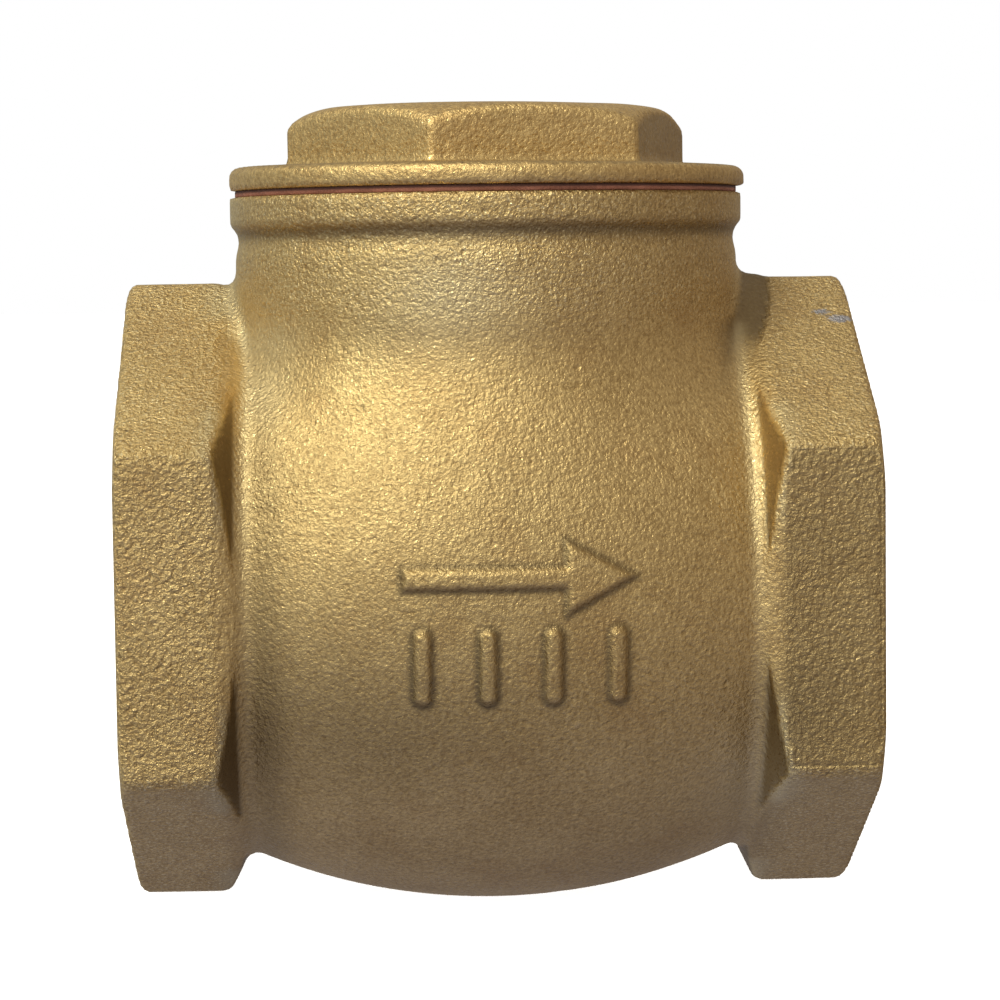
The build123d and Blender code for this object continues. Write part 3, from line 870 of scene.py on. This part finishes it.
def turned_metal(name, colour, dull, axis_point, across, roughness):
    """Machined metal with fine tool marks round an axis; across names the two radial axes."""
    n = Nodes(name)
    xyz = n.separate()
    parts = []
    for i in across:
        offset = n.math("SUBTRACT", xyz[i], float(axis_point[i]))
        parts.append(n.times(offset, offset))
    radius = n.math("SQRT", n.math("ADD", parts[0], parts[1]))
    rings = n.add("ShaderNodeTexNoise", noise_dimensions="1D")
    n.load(rings, W=radius, Scale=1.0 / TOOL_MARK, Detail=2.0)
    smear = n.noise(9.0, 3.0, 0.6)
    height = n.times_plus(smear, 0.4, rings.outputs["Fac"])
    n.bump(height, TOOL_MARK_DEPTH)
    tone = n.times_plus(rings.outputs["Fac"], 0.8, n.times(smear, 0.5))
    gloss = n.spread(rings.outputs["Fac"], 0.3, 0.7, roughness, roughness + 0.14)
    return n.finish(n.blend(n.spread(tone, 0.45, 0.9), colour, dull), gloss, metallic=1.0)


def fibre(name, dark, light):
    """Matt vulcanised fibre sheet, fuzzy at its cut edge."""
    n = Nodes(name)
    grain = n.noise(0.35, 4.0, 0.65)
    patch = n.noise(6.0, 3.0, 0.6)
    n.bump(n.times_plus(patch, 0.5, grain), 0.10)
    tone = n.spread(n.times_plus(patch, 0.6, n.times(grain, 0.6)), 0.35, 0.8)
    # painted shadow: the gasket's top darkens where the flange overhangs it
    rim = n.spread(n.separate()[2], gasket_high[2] - 0.65, gasket_high[2] - 0.35, 0.0, 0.85)
    colour = n.blend(rim, n.blend(tone, dark, light), (0.03, 0.012, 0.010))
    return n.finish(colour, n.spread(grain, 0.3, 0.7, 0.85, 0.68), specular=0.25)


def rubber(name):
    """Black nitrile with a faint moulded grain."""
    n = Nodes(name)
    grain = n.noise(0.5, 3.0, 0.6)
    n.bump(grain, 0.03)
    black = n.blend(n.noise(12.0, 3.0), (0.012, 0.012, 0.013), (0.035, 0.034, 0.032))
    return n.finish(black, n.spread(grain, 0.3, 0.7, 0.62, 0.48))


casting_metal = cast_brass("cast_brass", True, (0.43, 0.29, 0.12), (0.76, 0.565, 0.26))
cap_metal = cast_brass("cast_brass_cap", True, (0.48, 0.32, 0.13), (0.82, 0.605, 0.275), 0.29)
inside_metal = cast_brass("cast_brass_inside", False, (0.24, 0.15, 0.055), (0.60, 0.43, 0.17), 0.25)
FRESH, FRESH_DULL = (0.80, 0.61, 0.27), (0.55, 0.40, 0.16)
end_metal = turned_metal("turned_end", FRESH, FRESH_DULL, (0, 0, 0), (1, 2), 0.24)
neck_metal = turned_metal("turned_neck", FRESH, FRESH_DULL, (MID, 0, 0), (0, 1), 0.26)
disc_metal = turned_metal(
    "turned_disc", (0.74, 0.55, 0.24), (0.50, 0.35, 0.14), SEAT_ORIGIN, (1, 2), 0.28
)
plug_metal = turned_metal("turned_plug", (0.76, 0.58, 0.26), (0.55, 0.39, 0.16), PIN, (0, 2), 0.27)
steel = turned_metal("stainless", (0.62, 0.61, 0.59), (0.45, 0.44, 0.42), PIN, (0, 2), 0.25)
gasket_fibre = fibre("red_fibre", (0.11, 0.040, 0.025), (0.29, 0.112, 0.068))
facing_rubber = rubber("nitrile")


# ---- The valve body ----
CELL = 1.08
# how far the mean skin lies inside the smooth shape, so that waves hardly rise past it
SKIN_ALLOWANCE = 0.08
# share of the hidden inner faces that is thinned out
INNER_THINNING = 0.80
# where bands of painted highlight and painted shade run round, measured from the nearer end
CREVICE, BARREL_FILLET = 18.2, 22.0
INLET_MARGIN, OUTLET_MARGIN = 25.3, 19.5
# crease angle that keeps no edge sharp
SMOOTH = 180
# material slots of the shell
CAST, TURNED_END, TURNED_NECK, INSIDE = range(4)
# worn spots on the outlet hexagon's upper flat: place and size
SCUFFS = [(127.4, -12.2, 50.7, 1.4), (130.6, -14.4, 49.4, 2.0)]
# patches of painted shade: place, reach along each axis and strength
SHADE_PATCHES = [
    ((MID - 19.0, -42.0, 46.5), (9.0, 16.0, 4.5), 0.28),
    ((MID - 4.0, -56.0, 3.0), (22.0, 30.0, 16.0), 0.22),
    ((MID - 20.0, -52.0, -20.0), (28.0, 30.0, 12.0), 0.42),
    ((LENGTH - 12.0, -50.0, -17.0), (8.0, 12.0, 12.0), 0.22),
    ((MID - 29.0, -46.0, 25.0), (17.0, 24.0, 9.0), 0.20),
    ((MID + 2.0, -52.0, 21.0), (19.0, 24.0, 10.0), 0.17),
    ((MID - 34.0, -48.0, -7.0), (9.0, 20.0, 14.0), 0.12),
]
# patches of painted highlight, in the same form
LIGHT_PATCHES = [
    ((MID - 8.0, -46.0, 55.0), (11.0, 14.0, 8.0), 0.60),
    ((25.0, -38.0, 41.0), (5.0, 14.0, 7.0), 0.45),
    ((MID + 43.0, -45.0, -32.0), (8.0, 20.0, 9.0), 0.40),
]


def on_front(p):
    """True on the barrel's outer skin where the mark stands."""
    return (p[:, 1] < -48.0) & (np.hypot(p[:, 1], p[:, 2]) > BELLY - 3.0)


def refine_mark(piece):
    """Split the faces under the raised mark, finest along its edges."""
    mesh = bmesh.new()
    mesh.from_mesh(piece.data)
    for reach in (3.2, 1.3):
        centres = np.array([f.calc_center_median()[:] for f in mesh.faces]) / MM
        outline = mark_outline(centres[:, 0] - MID, centres[:, 2])
        near = (np.abs(outline) < reach) & on_front(centres)
        faces = [f for f, hit in zip(mesh.faces, near) if hit]
        edges = list({e for f in faces for e in f.edges})
        bmesh.ops.subdivide_edges(mesh, edges=edges, cuts=1, use_grid_fill=True)
        bmesh.ops.triangulate(mesh, faces=[f for f in mesh.faces if len(f.verts) > 4])
    mesh.to_mesh(piece.data)
    mesh.free()


def on_boss_face(p):
    """True on the flat spot-faced for the hinge plug."""
    from_pin = np.hypot(p[:, 0] - PIN[0], p[:, 2] - PIN[2])
    return (np.abs(p[:, 1] - BOSS_FACE) < 0.4) & (from_pin < BOSS_R + 0.2)


shell = field_piece("valve_casting", casting, *grown_box("valve_body", 2.2), CELL)
refine_mark(shell)
points = vertex_array(shell)
on_mark = on_front(points) & (mark_outline(points[:, 0] - MID, points[:, 2]) < 4.0)
points[on_mark] = settle(marked_casting, points[on_mark], rounds=8, limit=0.3)

inner = np.abs(casting_space(points)) < 0.45
x, y, z, dx, r, rho, from_end = measures(points)
turned = inner | (from_end < 0.5) | (z > COLLAR_TOP - 0.3) | on_boss_face(points)
slope = unit_slope(marked_casting, points)
wave = 0.05 * lattice_noise(points, 13.0, 3) + 0.025 * lattice_noise(points, 5.2, 5)
dents = 0.15 * ramp(lattice_noise(points, 6.0, 11), 0.68, 0.2)
sunk = np.clip(SKIN_ALLOWANCE - wave + dents, 0.0, 0.6)
sunk[turned] = 0.0
set_vertices(shell, points - slope * sunk[:, None])

# the skin is coarse on the hexagons and smoother in the shoulders, which also take painted shade
at_outlet = x > MID
on_hexagon = 1.0 - ramp(from_end, 16.5, 2.5)
facing_flat = on_hexagon * ramp(np.abs(slope[:, 1]), 0.9, 0.08)
flank = on_hexagon - facing_flat
on_barrel = (1.0 - on_hexagon) * ramp(z, NECK_R, -16.0)
coarse = 0.15 + (0.85 + 0.35 * at_outlet) * facing_flat + 0.30 * flank + 0.15 * on_barrel
along = np.clip(slope[:, 0] * np.sign(MID - x), 0.0, 1.0)
cone = ramp(along, 0.6, 0.25) * ramp(from_end, 15.0, 1.5) * (from_end < 23.5)
# root: belly just below the neck on the outlet side, darkened with painted shade
root = ramp(rho, 53.2, -1.2) * ramp(rho, NECK_R + 0.3, 1.0)
root *= ramp(from_end, 8.0, 3.0) * at_outlet * ramp(r, 49.5, 1.5) * (z > 35.0)
root *= ramp(from_end, 28.0, -7.0) * (1.0 - ramp(z, 63.0, 2.0))
# under: band just below the collar step, darkened as a painted shadow line
under = hump(z, COLLAR_STEP_Z - 0.6, 1.3) * ramp(rho, NECK_R - 2.0, 1.0)
slick_and_shaded = np.clip(cone + root, 0.0, 1.0)
on_neck = ramp(z, 46.0, 10.0) * (rho < COLLAR_R + 1.0)
grain = 1.0 + 1.10 * flank + 0.65 * on_neck + facing_flat * np.where(at_outlet, -0.25, 0.2)
grain *= 1.0 - 0.8 * slick_and_shaded - 0.2 * np.clip(under - slick_and_shaded, 0.0, 1.0)
# painted shade along the edges of the raised mark
edge_of_mark = hump(mark_outline(dx, z), 0.15, 0.6) * on_front(points)
# painted shade on the outlet hexagon's front flat and in bands near each end of the barrel
outlet_flat = facing_flat * at_outlet * (y < 0)
margin = 0.45 * hump(from_end, INLET_MARGIN, 3.8) * (x < MID) * ramp(z, 44.0, -10.0)
margin += 0.30 * hump(from_end, OUTLET_MARGIN, 4.5) * at_outlet * ramp(z, -3.0, -14.0)
# painted shade, summed: shoulders and the neck's root, less on the back half; the line under the collar;
# the mark's edges; the outlet's front flat; the margins
soil = (0.93 - 0.35 * (y > 0)) * slick_and_shaded + 0.9 * under + 0.7 * edge_of_mark + 0.42 * outlet_flat
soil += margin * (y < 0)
# hollow: crevice between barrel and hexagon; neck_foot: the neck's lower front; both get a paler painted
# tint standing in for light, and the inlet crevice also gets painted shade
hollow = hump(from_end, CREVICE, 3.2) * ramp(r, 51.5, 1.5) * (1.0 - facing_flat)
neck_foot = hump(rho, NECK_R + 1.5, 2.5) * ramp(z, 58.0, -8.0)
neck_foot *= ramp(z, 42.0, 6.0) * ramp(x, MID - 30.0, -10.0)


def patches(where, spots):
    """Sum of soft patches, each a place, its reach along each axis and a strength."""
    return sum(
        strength * np.exp(-(((where - at) / reach) ** 2).sum(1)) for at, reach, strength in spots
    )


# painted shade in patches and in the crevice on the inlet side
soil += patches(points, SHADE_PATCHES) + 0.45 * hollow * (1.0 - slick_and_shaded) * (x < MID)
hollow = np.maximum(hollow, 0.6 * neck_foot)
# painted highlight along the fillets round the barrel's ends, stronger towards the top and on the outlet
# side
fillet = hump(from_end, BARREL_FILLET, 1.6) * ramp(r, 52.5, -1.5)
fillet *= 0.10 + (0.22 + 0.18 * at_outlet) * ramp(z, -5.0, 30.0)
bright = fillet + 0.60 * hollow * (1.0 - slick_and_shaded) + patches(points, LIGHT_PATCHES)
scuffs = np.zeros(len(points))
for sx, sy, sz, size in SCUFFS:
    away = np.linalg.norm((points - (sx, sy, sz)) * (0.7, 1.2, 1.6), axis=1)
    scuffs = np.maximum(scuffs, np.exp(-((away / size) ** 2)))
set_values(
    shell, grain=grain, coarse=coarse, soil=np.clip(soil, 0.0, 1.0),
    bright=np.clip(bright, 0.0, 1.0), scuff=scuffs,
)

group = shell.vertex_groups.new(name="inside")
group.add([int(i) for i in np.flatnonzero(inner)], 1.0, "REPLACE")
reduce = shell.modifiers.new("reduce", "DECIMATE")
reduce.ratio = 1.0 - INNER_THINNING * inner.mean()
reduce.vertex_group = "inside"
bpy.context.view_layer.update()
graph = bpy.context.evaluated_depsgraph_get()
thinned = bpy.data.meshes.new_from_object(shell.evaluated_get(graph))
shell.modifiers.clear()
shell.data = thinned
shell.vertex_groups.clear()

for metal in (casting_metal, end_metal, neck_metal, inside_metal):
    shell.data.materials.append(metal)
polygons = shell.data.polygons
count = len(polygons)
flat = np.empty(count * 3, np.float32)
polygons.foreach_get("center", flat)
centre = flat.reshape(-1, 3).astype(float) / MM
polygons.foreach_get("normal", flat)
normal = flat.reshape(-1, 3)
slots = np.full(count, CAST, np.int32)
slots[np.abs(casting_space(centre)) < 0.3] = INSIDE
slots[(np.abs(centre[:, 0] - MID) > MID - 0.12) & (np.abs(normal[:, 0]) > 0.9)] = TURNED_END
slots[(centre[:, 2] > COLLAR_TOP - 0.1) & (normal[:, 2] > 0.9)] = TURNED_NECK
slots[on_boss_face(centre) & (normal[:, 1] > 0.9)] = TURNED_END
across, up_seat, off_seat = seat_frame(centre)
slots[(np.abs(off_seat) < 0.25) & (np.hypot(across, up_seat) < SEAT_RING + 0.2)] = TURNED_END
polygons.foreach_set("material_index", slots)


def place(piece, crease, body, slot, metal, *nodes):
    """Shade a new piece and give it its body and material, and hide the CAD nodes it replaces; the record
    slot is not used.
    """
    shade(piece, crease)
    if metal is not None:
        piece.data.materials.clear()
        piece.data.materials.append(metal)
    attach(piece, body)
    if nodes:
        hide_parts(*nodes)


place(shell, SMOOTH, "valve", "cast_brass", None, "valve_body")

X_AXIS, Y_AXIS, Z_AXIS = (1, 0, 0), (0, 1, 0), (0, 0, 1)
for name, mouth, axis in (("inlet_thread", 0, X_AXIS), ("outlet_thread", LENGTH, (-1, 0, 0))):
    sleeve = thread_sleeve(
        name, (mouth, 0, 0), axis, Y_AXIS, 0.03, THREAD_DEPTH - 0.05, THREAD_PITCH,
        THREAD_MINOR, THREAD_MAJOR, 45.2, ((44.2, 1.7), (THREAD_MINOR, 0.0)),
    )
    place(sleeve, 40, "valve", "cast_brass", end_metal)

CAP_PITCH = 2.0
neck_thread = thread_sleeve(
    "neck_thread", (MID, 0, 0), Z_AXIS, X_AXIS, CAP_THREAD_FLOOR + 0.1, COLLAR_TOP - 0.03, CAP_PITCH,
    41.0, 42.15, 43.4, ((41.0, 0.0), (42.5, 1.4)),
)
place(neck_thread, 40, "valve", "cast_brass", neck_metal)

# ---- Cap and gasket ----
cap_piece = field_piece("cap_casting", cap, *grown_box("bonnet", 1.8), 0.95)
points = vertex_array(cap_piece)
slope = unit_slope(cap, points)
x, y, z = points.T
rho = np.hypot(x - MID, y)
rough_side = z > CAP_FLANGE_Z + 0.6
hidden = (rho < CAP_HOLLOW_R + 0.5) & (z < CAP_DOME_TOP + 0.5)
sunk = np.clip(0.06 - 0.05 * lattice_noise(points, 9.0, 13), 0.0, 0.3)
sunk[~rough_side | hidden] = 0.0
set_vertices(cap_piece, points - slope * sunk[:, None])
# the cap's facet towards the outlet and a band at the hexagon's foot get less grain and painted shade
outlet_facet = ramp(slope @ np.array([0.866, -0.5, 0.0]), 0.93, 0.05) * (rho < 41.0)
hex_foot = hump(z - CAP_FLANGE_TOP + CAP_LEAN * (x - MID), 0.1, 0.7)
hex_foot *= (rho < CAP_FLANGE_R - 0.7) * (1.0 - outlet_facet)
set_values(
    cap_piece, grain=1.0 - 0.5 * outlet_facet - 0.5 * hex_foot, coarse=np.full(len(points), 0.3),
    soil=0.45 * outlet_facet + 0.40 * hex_foot,
)
place(cap_piece, SMOOTH, "cap", "cast_brass", cap_metal, "bonnet")
cap_thread = thread_sleeve(
    "cap_thread", (MID, 0, 0), Z_AXIS, X_AXIS, CAP_SKIRT_Z + 0.05, CAP_FLANGE_Z - 1.2, CAP_PITCH,
    41.95, 40.85, 40.2, ((40.9, 1.2), (40.9, 0.8)), 0.5,
)
place(cap_thread, 40, "cap", "cast_brass", neck_metal)


# waves of the gasket's cut edge: count round the ring, size and phase
EDGE_WAVES = ((3, 0.05, 0.4), (7, 0.05, 2.0), (17, 0.035, 1.1), (31, 0.03, 0.2), (53, 0.02, 2.6))


def ragged(angle, radius, height):
    """Cut edge of the fibre ring, not quite round."""
    wave = sum(size * np.sin(k * angle + turn) for k, size, turn in EDGE_WAVES)
    outer = radius > gasket_high[1] - 1.0
    return radius + np.where(outer, wave - 0.15, 0.0), height


def flat_ring(inner, outer, low, high):
    """Section of a washer or gasket."""
    return [(inner, low), (outer, low), (outer, high), (inner, high)]


gasket = lathe(
    "gasket_ring", flat_ring(GASKET_BORE, gasket_high[1], gasket_low[2], gasket_high[2]),
    (MID, 0, 0), Z_AXIS, X_AXIS, 0.25, 360, ragged,
)
place(gasket, 50, "gasket", "red_fibre", gasket_fibre, "bonnet_gasket")


# ---- Hinge, disc and plug ----
def seat_box(reach, low, high):
    """Box round everything within a reach of the seat's axis between two heights."""
    ends = [SEAT_ORIGIN + SEAT_NORMAL * low, SEAT_ORIGIN + SEAT_NORMAL * high]
    return np.min(ends, 0) - reach - 1.2, np.max(ends, 0) + reach + 1.2


arm = field_piece("hinge_arm_casting", hinge_arm, *grown_box("hinge_arm", 1.5), 0.7)
place(arm, SMOOTH, "swing_arm", "cast_brass", inside_metal, "hinge_arm")

SEAT = (SEAT_ORIGIN, SEAT_NORMAL, Y_AXIS)
disc = lathe(
    "disc_turned",
    [
        (4.05, 3.65), (37.3, 3.65), (37.3, 1.0), (38.5, 1.0), (38.5, 5.7), (37.7, 6.5), (34.0, 6.5),
        (33.2, 5.9), (15.0, 5.9), (13.0, 6.6), (13.0, 8.7), (7.0, 8.7), (7.0, 16.2), (6.1, 17.0),
        (6.1, 27.6), (5.2, 28.4), (0.03, 28.4), (0.03, 17.0), (4.05, 17.0),
    ],
    *SEAT, 0.25, 180,
)
place(disc, 35, "flap", "turned_brass", disc_metal, "disc")
stud = thread_sleeve(
    "stud_thread", *SEAT, 17.0, 28.3, 1.5, 6.98, 6.15, 5.4, ((6.2, 0.6), (5.9, 1.2)),
)
place(stud, 40, "flap", "turned_brass", disc_metal)
facing = lathe(
    "facing_ring",
    [(4.3, 0.15), (34.4, 0.15), (34.9, 0.28), (36.6, 0.28), (37.2, 0.4), (37.2, 3.6), (4.3, 3.6)],
    *SEAT, 0.2, 180,
)
place(facing, 40, "flap", "nitrile", facing_rubber, "disc_facing")
plate = lathe(
    "clamp_plate", [(4.3, -2.35), (29.2, -2.35), (30.0, -1.6), (30.0, 0.13), (4.3, 0.13)], *SEAT, 0.3, 160
)
place(plate, 35, "flap", "turned_brass", disc_metal, "facing_plate")
screw = field_piece("clamp_screw", screw_head, *seat_box(8.0, -8.0, 16.0), 0.5)
place(screw, SMOOTH, "flap", "stainless", steel, "facing_screw")
washer = lathe("stud_washer", flat_ring(7.3, 12.2, 16.3, 18.27), *SEAT, 0.35, 96)
place(washer, 35, "flap", "turned_brass", disc_metal, "disc_washer")
nut = field_piece("slotted_nut", disc_nut, *seat_box(13.0, 18.0, 28.0), 0.55)
place(nut, SMOOTH, "flap", "turned_brass", disc_metal, "disc_nut")


def seat_point(a, b, n):
    """Point given in the seat's frame."""
    return SEAT_ORIGIN + a * np.array(Y_AXIS, float) + b * SEAT_UP + n * SEAT_NORMAL


COTTER_N = 25.7
COTTER_R = 0.62
LOOP_R = 2.4
LOOP_END = -13.0
LOOP_GAP = 0.35
loop = [
    (LOOP_END - LOOP_R + LOOP_R * math.cos(t), LOOP_R * math.sin(t))
    for t in np.linspace(LOOP_GAP, 2 * math.pi - LOOP_GAP, 22)
]
route = [(a, COTTER_R, COTTER_N) for a in np.linspace(12.4, -12.0, 16)]
route += [(a, b, COTTER_N) for a, b in loop]
route += [(a, -COTTER_R, COTTER_N) for a in np.linspace(-12.0, 12.8, 16)]
cotter = tube("cotter", [seat_point(*q) for q in route], COTTER_R)
place(cotter, 60, "flap", "stainless", steel, "split_pin")

plug_piece = field_piece("hinge_plug", plug, *grown_box("pin_plug", 1.2), 0.6)
place(plug_piece, SMOOTH, "valve", "turned_brass", plug_metal, "pin_plug")
washer_low, washer_high = node_box("plug_washer")
sealing = lathe(
    "plug_seal", flat_ring(6.3, 9.2, washer_low[1], washer_high[1]),
    (PIN[0], 0, PIN[2]), Y_AXIS, Z_AXIS, 0.3, 72,
)
place(sealing, 50, "valve", "red_fibre", gasket_fibre, "plug_washer")

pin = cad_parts["hinge_pin"]
pin.data.materials.clear()
pin.data.materials.append(steel)


# ---- Floor, light and camera ----
FLOOR_HALF = 6.0
corners = ((-1, -1), (1, -1), (1, 1), (-1, 1))
floor_mesh = bpy.data.meshes.new("floor")
floor_mesh.from_pydata(
    [(FLOOR_HALF * i, FLOOR_HALF * j, cad_low[2]) for i, j in corners], [], [(0, 1, 2, 3)]
)
floor = add_object("floor", floor_mesh)
n = Nodes("floor_white")
pale = n.blend(n.noise(90.0, 2.0), (0.90, 0.90, 0.90), (0.92, 0.92, 0.92))
floor.data.materials.append(n.finish(pale, 0.9, specular=0.1))
floor.visible_glossy = False

world = bpy.data.worlds.new("studio")
bpy.context.scene.world = world
world.use_nodes = True
sky = Wiring(world.node_tree)
background = sky.find("BACKGROUND")
direction = sky.add("ShaderNodeTexCoord").outputs["Generated"]


def world_slope(lean, level):
    """Value that grows along a direction: level sideways on, plus the lean's length along it."""
    dot = sky.add("ShaderNodeVectorMath", operation="DOT_PRODUCT")
    sky.wire(direction, dot.inputs[0])
    dot.inputs[1].default_value = lean
    total = sky.add("ShaderNodeMath", operation="ADD", use_clamp=True)
    sky.wire(dot.outputs["Value"], total.inputs[0])
    total.inputs[1].default_value = level
    return total.outputs[0]


tint = sky.blend(world_slope((0.5, 0.0, 0.0), 0.5), (0.96, 1.0, 0.96), (1.0, 0.84, 0.70))
tint = sky.blend(world_slope((0.0, 0.0, -1.0), 0.0), tint, (1.0, 0.98, 1.30))
sky.wire(tint, background.inputs["Color"])
sky.wire(world_slope((-0.10, -0.08, 0.13), 0.42), background.inputs["Strength"])
# the camera itself sees plain white behind the object
white = sky.add("ShaderNodeBackground")
white.inputs["Color"].default_value = (1.0, 1.0, 1.0, 1.0)
seen = sky.add("ShaderNodeLightPath").outputs["Is Camera Ray"]
mix = sky.add("ShaderNodeMixShader")
for source, socket in zip((seen, background.outputs[0], white.outputs[0]), mix.inputs):
    sky.wire(source, socket)
sky.wire(mix.outputs[0], sky.find("OUTPUT_WORLD").inputs["Surface"])

centre = (cad_low + cad_high) / 2


def softbox(name, towards, distance, size, power, colour):
    """Square area light aimed at the object's middle."""
    data = bpy.data.lights.new(name, "AREA")
    data.size = size
    data.energy = power
    data.color = colour
    lamp = add_object(name, data)
    towards = Vector(towards).normalized()
    lamp.location = centre + towards * distance
    lamp.rotation_euler = (-towards).to_track_quat("-Z", "Y").to_euler()
    return lamp


softbox("key", (-0.42, -0.45, 0.78), 1.1, 0.60, 4.6, (1.0, 1.0, 0.86))
softbox("key_core", (-0.36, -0.42, 0.83), 1.1, 0.20, 2.2, (1.0, 1.0, 0.86))
softbox("side", (-0.36, -0.88, 0.32), 1.3, 0.45, 1.3, (1.0, 0.98, 0.93))

sun = bpy.data.lights.new("floor_light", "SUN")
sun.energy = 3.3
sun.angle = math.radians(20.0)
floor_light = add_object("floor_light", sun)
only_floor = bpy.data.collections.new("only_floor")
only_floor.objects.link(floor)
floor_light.light_linking.receiver_collection = only_floor
floor_light.light_linking.blocker_collection = only_floor

# lens as a multiple of the sensor's width, and the camera's turns in radians
SENSOR = 36.0
LENS = 3.155
YAW, PITCH, ROLL = -0.0454, -0.0788, 0.0124
camera_data = bpy.data.cameras.new("camera")
camera = add_object("camera", camera_data)
bpy.context.scene.camera = camera
camera_data.sensor_width = SENSOR
camera_data.lens = LENS * SENSOR
camera_data.clip_start = 0.01
camera_data.clip_end = 50.0
camera.location = Vector((MID - 24.66, -588.63, 62.44)) * MM
forward = Matrix.Rotation(YAW, 3, "Z") @ Vector((0, 1, 0))
right = Matrix.Rotation(YAW, 3, "Z") @ Vector((1, 0, 0))
turn = Matrix.Rotation(PITCH, 3, right)
forward, up = turn @ forward, turn @ Vector((0, 0, 1))
turn = Matrix.Rotation(ROLL, 3, forward)
right, up = turn @ right, turn @ up
camera.rotation_mode = "QUATERNION"
camera.rotation_quaternion = Matrix((right, up, -forward)).transposed().to_quaternion()

view = bpy.context.scene.view_settings
view.view_transform = "Standard"
view.look = "None"
view.exposure = 0.0
view.gamma = 1.0
